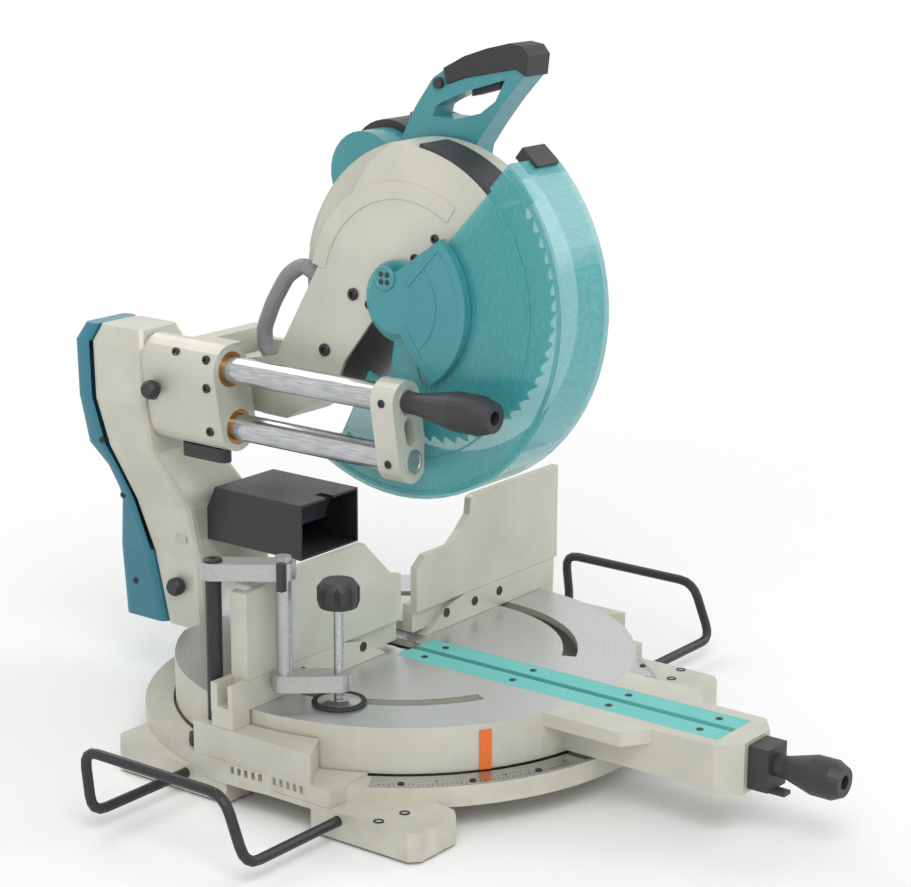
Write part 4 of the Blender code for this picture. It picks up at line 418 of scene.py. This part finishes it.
STEEL = rgb(205, 207, 208)
STEEL_SHADE = rgb(150, 152, 154)
steel = drawn_finish("bright_steel", STEEL, STEEL_SHADE, (9, 9, 9), rough=0.24)
finish(steel, mitre_scale=0, mitre_pivot_bolt=0)
scale_low, scale_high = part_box("mitre_scale")
scale_outer = pivot.y - scale_low.y
scale_top = scale_high.z
ink = moulded("black_ink", rgb(36, 36, 38), rgb(50, 50, 52), scale=700, grain=0.00002, rough=0.5)
marks = bmesh.new()
for degree in range(-SCALE_END, SCALE_END + 1):
    length = MARK_LENGTHS[0 if degree % 15 == 0 else 1 if degree % 5 == 0 else 2]
    turn = Matrix.Rotation(radians(degree), 3, "Z")
    corners = [(side * MARK_HALF_WIDTH, -(scale_outer - MARK_INSET) + inset, 0)
               for side, inset in ((-1, 0), (1, 0), (1, length), (-1, length))]
    box_sides(marks, [[marks.verts.new(Vector((pivot.x, pivot.y, scale_top + lift)) + turn @ Vector(corner))
                       for corner in corners] for lift in (-MARK_PROUD, MARK_PROUD)])
make("mitre_scale_marks", marks, ink, "base")
for degree in NUMBERED:
    name = f"scale_number_{degree + 60}"
    curve = bpy.data.curves.new(name, "FONT")
    curve.body = str(abs(degree))
    curve.size = NUMBER_SIZE
    curve.align_x = "CENTER"
    curve.extrude = MARK_PROUD
    curve.materials.append(ink.material)
    piece = bpy.data.objects.new(name, curve)
    piece.matrix_world = (Matrix.Translation(on_scale(degree, NUMBER_INSET))
                          @ Matrix.Rotation(radians(degree), 4, "Z"))
    bpy.context.scene.collection.objects.link(piece)
    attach(piece, "base")
screws("scale_screws", [on_scale(degree, SCALE_SCREW_INSET) for degree in SCALE_SCREW_DEGREES], UP,
       SCALE_SCREW_HEAD, "base", cross)

# The table is one casting with its arm, painted like the base and faced on a lathe. The rings of the
# tool run about the mitre pivot on the bare top face alone.
TABLE_RADIUS = 0.2402
FACE_TOLERANCE = 0.0009
RING_PITCH = 0.0013
TABLE_SKIN_DEPTH = 0.00009
table = Surface("table_face")
off_centre = table.vector("SUBTRACT", table.place(), pivot)
spread = table.vector("LENGTH", table.vector("MULTIPLY", off_centre, (1, 1, 0)), output=1)
top_face = (table.along(2, off_centre) > -FACE_TOLERANCE) * (spread < TABLE_RADIUS)
lines = table.streaks(spread, 900)
cloud = table.band(table.noise(14, 4), 0.35, 0.7)
bright = table.blend(table.band(lines, 0.3, 0.7) * 0.5 + table.waves(spread, RING_PITCH) * 0.15,
                     rgb(206, 208, 208), rgb(168, 170, 170))
skin = table.blend(cloud * 0.7, PAINT, PAINT_SHADED)
table.set(Base_Color=table.blend(top_face, skin, bright), Metallic=top_face * 0.55 + 0.25,
          Roughness=top_face * (lines * 0.15 - 0.18) + cloud * 0.1 + 0.42)
table.relief(top_face * (lines * 0.5) + (1 - top_face) * table.noise(620, 3), TABLE_SKIN_DEPTH, 0.45)
finish(table, turntable=0.0008)

# The kerf boards are two teal plastic strips let into the table either side of the cut, each held by
# four black cross-head screws. The pointer beside them is an orange moulding that reads the scale.
BOARD_SCREW_HEAD = (0.0036, 0.0006)
BOARD_SCREW_SHARES = (0.07, 0.34, 0.64, 0.93)
BOARD_SCREW_LIFT = 0.0001
kerf_board = moulded("kerf_board_plastic", rgb(112, 202, 196), rgb(98, 188, 184), scale=700, grain=0.00008,
                     rough=0.5)
orange = moulded("orange_moulding", rgb(236, 118, 38), rgb(224, 104, 30), scale=900, grain=0.00006, rough=0.4)
finish(kerf_board, left_kerf_board=0.0004, right_kerf_board=0.0004)
finish(orange, mitre_pointer=0.0003)
board_low, board_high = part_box("left_kerf_board")
board_x = (board_low.x + board_high.x) / 2
board_run = board_high.y - board_low.y
screws("kerf_board_screws", [Vector((side * board_x, board_low.y + board_run * share, pivot.z + BOARD_SCREW_LIFT))
                             for side in (-1, 1) for share in BOARD_SCREW_SHARES],
       UP, BOARD_SCREW_HEAD, "turntable", cross)

# The fence is a painted casting bolted on the base's posts by black socket screws, and carries an
# upper fence on each side that slides out along it.
FENCE_SCREW_HEAD = (0.0052, 0.0008)
FENCE_SCREWS_X = (-0.165, -0.07, 0.07, 0.12, 0.165)
FENCE_SCREW_HEIGHT = 0.017


def hexagon(angle):
    return cos(pi / 6) / cos((angle + pi / 6) % (pi / 3) - pi / 6)


finish(paint, lower_fence=0.0009, left_upper_fence=0.0009, right_upper_fence=0.0009)
screws("fence_screws", [surface_at("lower_fence", at(x, -2 * CAST_FROM, FENCE_SCREW_HEIGHT), -FRONT)
                        for x in FENCE_SCREWS_X], FRONT, FENCE_SCREW_HEAD, "base", hexagon)

# The work holders are bent steel bars, blackened, that slide in bores of the base. A black
# glass-filled nylon knob clamps each of them.
nylon = moulded("black_nylon", rgb(42, 42, 44), rgb(58, 58, 60))
finish(black_steel, left_holder=0, right_holder=0)
finish(nylon, left_holder_knob=0, right_holder_knob=0)

# The vise drops on a blackened rod in the base. Its arms are milled aluminium, its knobs nylon, and
# it presses through a plated pad that sits in a black ring; the rod has a socket cap on top.
PAD_RING = [(-0.004, 0.0001, False), (0.0036, 0.0001, False), (0.0044, 0.0014, False), (0.0036, 0.003, False),
            (-0.0005, 0.0034, False), (-0.001, 0.0028, False)]
ROD_CAP = [(0.0095, 0, False), (0.0095, 0.0016, False), (0.0082, 0.0026, False), (0.0032, 0.0026, True),
           (0.0031, 0.001, True)]
milled = drawn_finish("milled_aluminium", rgb(196, 197, 196), rgb(160, 161, 160), (0.6, 12, 12), rough=0.36)
finish(black_steel, vise_rod=0)
finish(milled, vise_arm=0.0015, vise_foot_arm=0.0012)
finish(steel, vise_pad=0, vise_screw=0)
finish(nylon, vise_thumb_screw=0, vise_knob=0.0009)
pad_low, pad_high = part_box("vise_pad")
pad_middle = (pad_low + pad_high) / 2
pad_radius = (pad_high.x - pad_low.x) / 2
# A black ring round the foot of the pad.
ring = bmesh.new()
lathe(ring, [(pad_radius + out, height, shaped) for out, height, shaped in PAD_RING],
      Vector((pad_middle.x, pad_middle.y, pad_low.z)), UP, steps=56)
make("vise_pad_ring", ring, rubber, "vise_pad")
rod_low, rod_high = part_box("vise_rod")
rod_middle = (rod_low + rod_high) / 2
cap = bmesh.new()
lathe(cap, ROD_CAP, Vector((rod_middle.x, rod_middle.y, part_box("vise_arm")[1].z)), UP, steps=36, recess=hexagon)
make("vise_rod_cap", cap, black_steel, "base")

# The mitre lock hangs on the arm's front: a black nylon housing with the grip that clamps the table
# and the lever that lifts its latch.
finish(nylon, mitre_lock_housing=0.0015, mitre_lock_grip=0.0012, latch_lever=0.001)

# The column is a painted casting that tilts on a steel bolt behind the table. A black grip clamps
# it, a black knob stops it, and a bare stamped plate is let into its left side.
PLATE_SPAN = (0.2475, 0.2635)
PLATE_HEIGHT = 0.088
PLATE_HALF_HEIGHT = 0.008
PLATE_HALF_THICK = 0.0005
LEFT_OF_COLUMN = -0.2


def seen_places(node, places, reach=0.4):
    """Those of the places that meet the node's surface from the left"""
    found = [nodes[node].ray_cast(Vector(place) + LEFT * reach, RIGHT) for place in places]
    return [place for hit, place, _, _ in found if hit]


def slab(mesh, outline, low, high):
    """An outline of (y, z) places, between two places on x"""
    rows = [[mesh.verts.new((x, y, z)) for y, z in outline] for x in (low, high)]
    mesh.faces.new(rows[0][::-1])
    mesh.faces.new(rows[1])
    for first in range(len(outline)):
        after = (first + 1) % len(outline)
        mesh.faces.new((rows[0][first], rows[0][after], rows[1][after], rows[1][first]))


finish(paint, column=0.0018)
finish(steel, bevel_pivot_bolt=0)
finish(nylon, bevel_lock_grip=0.0012, bevel_stop_knob=0)
near, distant = seen_places("column", [at(LEFT_OF_COLUMN, y, PLATE_HEIGHT) for y in PLATE_SPAN])
plate = bmesh.new()
slab(plate, [(near.y, near.z - PLATE_HALF_HEIGHT), (distant.y, distant.z - PLATE_HALF_HEIGHT),
             (distant.y, distant.z + PLATE_HALF_HEIGHT), (near.y, near.z + PLATE_HALF_HEIGHT)],
     min(near.x, distant.x) - PLATE_HALF_THICK, max(near.x, distant.x) + PLATE_HALF_THICK)
make("bare_plate", plate, milled, "bevel_arm", soften=0.0002)

# The rear cover is a glossy blue-teal moulding over the column's back, held on its left side by
# black cross-head screws.
COVER_SCREW_HEAD = (0.0036, 0.0012)
COVER_SCREW_BACK = 0.62
COVER_SCREW_SHARES = (0.12, 0.42, 0.62, 0.93)
cover_teal = moulded("blue_teal_cover", rgb(44, 118, 138), rgb(52, 128, 146), scale=1200, grain=0.00005,
                     rough=0.36, coat=0.2)
finish(cover_teal, rear_cover=0.0022)


def left_side(node, shares):
    """Places on the left side of a node's box, by their shares of its depth and height"""
    low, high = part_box(node)
    spots = [Vector((low.x, low.y + (high.y - low.y) * back, low.z + (high.z - low.z) * up))
             for back, up in shares]
    return seen_places(node, spots)


screws("rear_cover_screws", left_side("rear_cover", [(COVER_SCREW_BACK, up) for up in COVER_SCREW_SHARES]), LEFT,
       COVER_SCREW_HEAD, "bevel_arm", cross)

# The dust hood is a black moulding on the column, with a flexible grey flap hanging in its mouth
# that guides the sawdust into it.
FLAP_STEPS = 12
FLAP_THICK = 0.0012
FLAP_DROP = 0.036
FLAP_SWEEP = 0.020
FLAP_START = 0.022
FLAP_ROOT = 0.0035
FLAP_GAP = 0.004
finish(nylon, dust_hood=0.0012)
flap_rubber = moulded("flap_rubber", rgb(74, 72, 84), rgb(92, 90, 100), scale=420, grain=0.00012, rough=0.6)
hood_low, hood_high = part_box("dust_hood")
flap = bmesh.new()
front_rows, back_rows = [
    [[flap.verts.new((x, hood_low.y + FLAP_START + FLAP_SWEEP * sin(step / FLAP_STEPS * pi / 2) + depth,
                      hood_high.z - FLAP_ROOT - FLAP_DROP * (step / FLAP_STEPS)))
      for x in (hood_low.x + FLAP_GAP, hood_high.x - FLAP_GAP)] for step in range(FLAP_STEPS + 1)]
    for depth in (0, FLAP_THICK)]
for rows, order in ((front_rows, 1), (back_rows, -1)):
    for first, second in zip(rows, rows[1:]):
        flap.faces.new((first[0], first[1], second[1], second[0])[::order])
for end in (0, FLAP_STEPS):
    flap.faces.new((front_rows[end][0], front_rows[end][1], back_rows[end][1], back_rows[end][0]))
for side in (0, 1):
    for step in range(FLAP_STEPS):
        flap.faces.new((front_rows[step][side], front_rows[step + 1][side], back_rows[step + 1][side],
                        back_rows[step][side]))
make("dust_flap", flap, flap_rubber, "bevel_arm")

# The rails are two ground steel bars, one over the other, clamped in a painted bracket by set
# screws from the left. A turned aluminium cap with a dished face closes the bracket over each bar.
SET_SCREW_HEAD = (0.0042, 0.0012)
RAIL_CAP = [(0.0128, -0.002, False), (0.0128, 0.0007, False), (0.0118, 0.0013, False), (0.0102, 0.0013, False),
            (0.0096, 0.0005, False)]
rail_steel = drawn_finish("ground_rail", STEEL, STEEL_SHADE, (9, 0.8, 9), rough=0.2)
finish(rail_steel, upper_rail=0, lower_rail=0)
finish(paint, rail_bracket=0.0018)
bracket_low, bracket_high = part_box("rail_bracket")
rail_middles = [(low + high) / 2 for low, high in (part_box("upper_rail"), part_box("lower_rail"))]
bracket_y = (bracket_low.y + bracket_high.y) / 2
set_screw_spots = [Vector((bracket_low.x, bracket_y, middle.z)) for middle in rail_middles]
screws("bracket_set_screws", seen_places("rail_bracket", set_screw_spots), LEFT, SET_SCREW_HEAD, "bevel_arm",
       hexagon)
rail_caps = bmesh.new()
for middle in rail_middles:
    lathe(rail_caps, RAIL_CAP, Vector((middle.x, bracket_low.y, middle.z)), FRONT, steps=36)
make("rail_end_caps", rail_caps, milled, "bevel_arm")

# The carriage is a painted casting that runs on the rails in turned bronze bushes. Black socket
# screws sit in its bosses, and the lock knob and the depth stop are black nylon.
CARRIAGE_SCREW_HEAD = (0.0048, 0.0022)
CARRIAGE_SCREWS = ((0.12, 0.88), (0.12, 0.62), (0.55, 0.9), (0.9, 0.45), (0.16, 0.2))


def turned_finish(name, light, dark, centre, pitch, rough):
    """Tool marks in rings about an axis that runs left to right"""
    made = Surface(name)
    from_axis = made.vector("MULTIPLY", made.vector("SUBTRACT", made.place(), centre), (0, 1, 1))
    radius = made.vector("LENGTH", from_axis, output=1)
    rings = made.waves(radius + made.noise(30) * (pitch / pi), pitch)
    streak = made.streaks(radius, 0.8 / pitch)
    tone = made.blend(made.band(streak, 0.3, 0.7) * 0.55 + rings * 0.2, light, dark)
    made.set(Base_Color=tone, Metallic=0.9, Roughness=streak * 0.16 + rough - 0.08)
    made.relief(rings * 0.6 + streak * 0.4, 0.00003, 0.35)
    return made


motor_axis = Vector(joints["motor_spin"]["pos_m"])
bronze = turned_finish("bronze_bush", rgb(186, 140, 84), rgb(150, 108, 60), motor_axis, pitch=0.0008,
                       rough=0.36)
finish(paint, carriage=0.002)
finish(bronze, upper_rail_bush=0, lower_rail_bush=0)
finish(nylon, slide_lock_knob=0.001, depth_stop=0.001)
screws("carriage_screws", left_side("carriage", CARRIAGE_SCREWS), LEFT, CARRIAGE_SCREW_HEAD, "carriage", hexagon)

# The head is a die-cast blade case in silver paint that swings on a steel shaft against a spring.
# Socket screws join its two halves, a step is cast concentric with the blade, and a black finger
# guard strip is fixed along its crown.
HEAD_SCREWS = [(-0.074, 0.444, 0.0045), (0.029, 0.377, 0.0062), (-0.049, 0.422, 0.0045), (0.009, 0.369, 0.0045),
               (0.067, 0.315, 0.0065)]
HEAD_SCREW_FLATNESS = 0.5
CROWN_RADII = (0.1545, 0.1588)
CROWN_DEGREES = (44, 82)
CROWN_X = (-0.0475, -0.004)
CASE_STEP_RADII = (0.1005, 0.1180)
CASE_STEP_DEGREES = (56, 168)
CASE_STEP_PROUD = 0.0014
CASE_STEP_SUNK = 0.0006
LEFT_OF_HEAD = 0.5
blade_axis = Vector(joints["arbor_spin"]["pos_m"])


def on_left_face(node, y, height):
    return surface_at(node, at(-LEFT_OF_HEAD, y, height), RIGHT)


def arc_band(inner, outer, start, end, steps=24):
    """An arc band about the blade's axis, from degrees measured upwards from the front"""
    def arc(radius, first, last):
        angles = [radians(first) + (radians(last) - radians(first)) * step / steps for step in range(steps + 1)]
        return [(blade_axis.y - radius * cos(angle), blade_axis.z + radius * sin(angle)) for angle in angles]
    return arc(outer, start, end) + arc(inner, end, start)


finish(paint, head_casting=0.0022)
finish(steel, head_pivot_shaft=0, return_spring=0)
for count, (y, height, radius) in enumerate(HEAD_SCREWS, 1):
    screws(f"head_screw_{count}", [on_left_face("head_casting", y, height)], LEFT,
           (radius, radius * HEAD_SCREW_FLATNESS), "head", hexagon)
crown = bmesh.new()
slab(crown, arc_band(*CROWN_RADII, *CROWN_DEGREES), *CROWN_X)
make("crown_guard", crown, nylon, "head", soften=0.0008)
case_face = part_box("head_casting")[0].x
case_step = bmesh.new()
slab(case_step, arc_band(*CASE_STEP_RADII, *CASE_STEP_DEGREES, steps=50), case_face - CASE_STEP_PROUD,
     case_face + CASE_STEP_SUNK)
make("case_step", case_step, paint, "head", soften=0.0006)

# The saw blade is a ground steel plate with carbide tips, bolted on the arbor and seen through the
# clear guard. The grinding leaves rings about its axis.
finish(steel, arbor=0)
ground = turned_finish("ground_blade", rgb(176, 178, 180), rgb(128, 130, 132), blade_axis, pitch=0.0014,
                       rough=0.3)
finish(ground, blade=0)

# The lower guard is clear teal polycarbonate, deeper in tone at a slant, with fine rub marks left by
# sawdust. A bead runs round its rim and another round its inner edge, both moulded in one with it,
# and a black clip stiffens its upper end.
CLEAR_TEAL = rgb(70, 176, 180)
RUBBED_TEAL = rgb(120, 200, 202)
BEADS = (("guard_rim_bead", 0.1925, 0.0045), ("guard_inner_bead", 0.158, 0.0022))
BEAD_PROUD = 0.0009
BEAD_SUNK = 0.0005
FACE_DEPTH = 0.006
LEFT_OF_GUARD = 0.05
CLIP_RADII = (0.1885, 0.2025)
CLIP_DEGREES = (45, 52)
CLIP_INSETS = (0.032, 0.006)
clear = Surface("clear_teal_plastic")
rub = clear.noise(140, 5, (1, 6, 1))
slant = clear.node("ShaderNodeLayerWeight", {}, 1, Blend=0.35)
clear.set(Base_Color=clear.blend(clear.band(rub, 0.4, 0.75) * 0.35, CLEAR_TEAL, RUBBED_TEAL),
          Roughness=rub * 0.18 + 0.1, Alpha=slant * 0.35 + clear.band(rub, 0.5, 0.8) * 0.12 + 0.5, Coat_Weight=0.4)
clear.relief(rub, 0.00004, 0.3)
finish(clear, guard=0.006)
guard_low, guard_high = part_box("guard")


def standing_run(radius):
    """The longest run of whole degrees over which the guard's left face stands at a radius"""
    runs, run = [], []
    for degree in range(-180, 180):
        angle = radians(degree)
        start = Vector((guard_low.x - LEFT_OF_GUARD, blade_axis.y - radius * cos(angle),
                        blade_axis.z + radius * sin(angle)))
        hit, place, _, _ = nodes["guard"].ray_cast(start, RIGHT)
        if hit and place.x < guard_low.x + FACE_DEPTH:
            run.append(degree)
        elif run:
            runs.append(run)
            run = []
    return max(runs + [run], key=len)


for name, radius, width in BEADS:
    run = standing_run(radius)
    bead = bmesh.new()
    slab(bead, arc_band(radius - width / 2, radius + width / 2, run[0] + 1, run[-1] - 1, steps=60),
         guard_low.x - BEAD_PROUD, guard_low.x + BEAD_SUNK)
    make(name, bead, clear, "guard", soften=0.0004)
clip = bmesh.new()
slab(clip, arc_band(*CLIP_RADII, *CLIP_DEGREES, steps=10), guard_low.x + CLIP_INSETS[0],
     guard_high.x - CLIP_INSETS[1])
make("guard_clip", clip, nylon, "guard", soften=0.001)

# The cover over the blade bolt is a glossy teal moulding shaped as a fan, with a raised border, a
# rib inside it and one down each edge. The round cap on it is a turned moulding with four spanner
# holes, each drawn as a black disc on the cap's floor: painted shade for the inside of the hole.
CAP_PLACE = (-0.0233, 0.4016)
CAP_RADIUS = 0.0125
CAP_PROFILE = [(0, -0.001, False), (0, 0.0016, False), (-0.0008, 0.0024, False), (-0.0022, 0.0024, False),
               (-0.0028, 0.0016, False)]
CAP_HOLE_SHADE = [(0.0029, 0.0005, False), (0.0029, 0.0018, False), (0.0026, 0.002, False)]
CAP_HOLE_CIRCLE = 0.42
RIB_ANGLES = (-57, 47)
RIB_REACH = (0.026, 0.081)
RIB_HALF_WIDTH = 0.0016
RIB_PROUD = 0.0012
COVER_SUNK = 0.0004
teal = moulded("teal_moulding", rgb(58, 142, 150), rgb(68, 152, 158), scale=1200, grain=0.00005, rough=0.34,
               coat=0.3)
finish(teal, centre_cover=0.0014)
cap_place = on_left_face("centre_cover", *CAP_PLACE)
cap = bmesh.new()
lathe(cap, [(CAP_RADIUS + out, height, shaped) for out, height, shaped in CAP_PROFILE], cap_place, LEFT,
      steps=36)
make("cover_cap", cap, teal, "head")
# Black discs in the cap: painted shade for its four spanner holes.
hole_shades = bmesh.new()
for quarter in range(4):
    angle = pi / 4 + quarter * pi / 2
    aside = Vector((0, cos(angle), sin(angle))) * CAP_RADIUS * CAP_HOLE_CIRCLE
    lathe(hole_shades, CAP_HOLE_SHADE, cap_place + aside, LEFT, steps=20)
make("cover_cap_hole_shades", hole_shades, nylon, "head")
cover_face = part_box("centre_cover")[0].x
for name, radii, angles, proud, soften in (
        ("cover_border", (0.0805, 0.0893), (-58, 48), 0.0012, 0.0005),
        ("cover_inner_rib", (0.0520, 0.0536), (-56, 46), 0.0008, 0.0003)):
    band = bmesh.new()
    slab(band, arc_band(*radii, *angles, steps=40), cover_face - proud, cover_face + COVER_SUNK)
    make(name, band, teal, "head", soften=soften)
ribs = bmesh.new()
for angle in RIB_ANGLES:
    heading = Vector((0, -cos(radians(angle)), sin(radians(angle))))
    aside = Vector((0, -heading.z, heading.y)) * RIB_HALF_WIDTH
    root, tip = [blade_axis + heading * reach for reach in RIB_REACH]
    slab(ribs, [(corner.y, corner.z) for corner in (root - aside, tip - aside, tip + aside, root + aside)],
         cover_face - RIB_PROUD, cover_face + COVER_SUNK)
make("cover_edge_ribs", ribs, teal, "head", soften=0.0004)

# The main handle is a teal moulded D whose halves are joined by self-tapping screws from the left,
# with a black trigger and lock-off button. Its grip is soft and moulded over, with fine ribs for
# the palm.
GRIP_RIB_PITCH = 0.0032
GRIP_DEPTH = 0.0002
HANDLE_SCREW_HEAD = (0.0032, 0.0009)
HANDLE_SCREWS = ((0.93, 0.16), (0.72, 0.3), (0.62, 0.52), (0.30, 0.80), (0.06, 0.72))
grip = Surface("soft_grip")
grip_cloud = grip.noise(40, 3)
grip.set(Base_Color=grip.blend(grip_cloud * 0.5, rgb(44, 44, 46), rgb(60, 60, 62)),
         Roughness=grip_cloud * 0.15 + 0.55)
grip.relief(grip.waves(grip.along(0), GRIP_RIB_PITCH) * 0.6 + grip.noise(700, 2) * 0.4, GRIP_DEPTH, 0.6)
finish(teal, main_handle=0.0035)
finish(grip, handle_grip=0.004)
finish(nylon, trigger=0, lock_off_button=0)
screws("handle_screws", left_side("main_handle", HANDLE_SCREWS), LEFT, HANDLE_SCREW_HEAD, "head", cross)

# The carrying handle is a loop of mid-grey nylon, moulded in one piece and bolted to the back of
# the head. The saw is lifted by it with the head latched down.
carry_grey = moulded("mid_grey_moulding", rgb(128, 129, 131), rgb(140, 141, 142))
finish(carry_grey, carry_handle=0)

# The belt case is a teal moulding on the right, closed round a rubber belt that runs from the
# steel pulley on the motor's shaft to the arbor.
finish(teal, belt_case=0.003)
finish(rubber, drive_belt=0)
finish(steel, motor_pulley=0)

# The motor is a black moulded can on the right, with ribs round its end, rings of small grey vents in
# its face and two grey brush caps that unscrew with a coin. Its armature is wound with copper wire.
FIN_COUNT = 28
FIN_LENGTH = 0.034
FIN_INSET = 0.018
FIN_FOOT = (0.0017, -0.0006)
FIN_CREST = (0.0011, 0.0016)
VENT_RINGS = ((0.012, 6), (0.021, 12), (0.029, 18))
VENT_RIM = [(0.0026, -0.0006, False), (0.0026, 0.0008, False), (0.002, 0.0008, False), (0.0018, -0.0004, False)]
BRUSH_CAP_HEAD = (0.0085, 0.003)
BRUSH_CAP_INSET = 0.062
RIGHT_OF_MOTOR = 0.1
dark_grey = moulded("grey_moulding", rgb(92, 93, 95), rgb(106, 107, 108))
winding = drawn_finish("motor_winding", rgb(184, 104, 56), rgb(120, 60, 32), (1.2, 14, 14), metallic=0.8,
                       rough=0.4)
finish(nylon, motor_housing=0.002)
finish(winding, motor_armature=0)
motor_low, motor_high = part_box("motor_housing")
motor_radius = (motor_high.z - motor_low.z) / 2
motor_centre = Vector((motor_high.x, (motor_low.y + motor_high.y) / 2, (motor_low.z + motor_high.z) / 2))
fins = bmesh.new()
for count in range(FIN_COUNT):
    turn = Matrix.Rotation(2 * pi * count / FIN_COUNT, 3, "X")
    corners = [(0, aside, motor_radius + out) for aside, out in (
        (-FIN_FOOT[0], FIN_FOOT[1]), FIN_FOOT, FIN_CREST, (-FIN_CREST[0], FIN_CREST[1]))]
    ends = [Vector((motor_high.x - inset, motor_centre.y, motor_centre.z))
            for inset in (FIN_INSET + FIN_LENGTH, FIN_INSET)]
    box_sides(fins, [[fins.verts.new(end + turn @ Vector(corner)) for corner in corners] for end in ends])
make("motor_fins", fins, nylon, "head")
vents = bmesh.new()
end_face = surface_at("motor_housing", motor_centre + RIGHT * RIGHT_OF_MOTOR, LEFT)
for radius, count in VENT_RINGS:
    for step in range(count):
        angle = 2 * pi * step / count
        lathe(vents, VENT_RIM, Vector((end_face.x, motor_centre.y + radius * cos(angle),
                                       motor_centre.z + radius * sin(angle))), RIGHT, steps=12)
make("motor_end_vents", vents, dark_grey, "head")


def coin_slot(angle):
    return 0.25 + 0.75 * abs(cos(angle)) ** 8


brushes = bmesh.new()
for side in (-1, 1):
    lathe(brushes, head_profile(*BRUSH_CAP_HEAD), motor_centre + Vector((-BRUSH_CAP_INSET, 0, side * motor_radius)),
          UP * side, steps=28, recess=coin_slot)
make("brush_caps", brushes, dark_grey, "head")
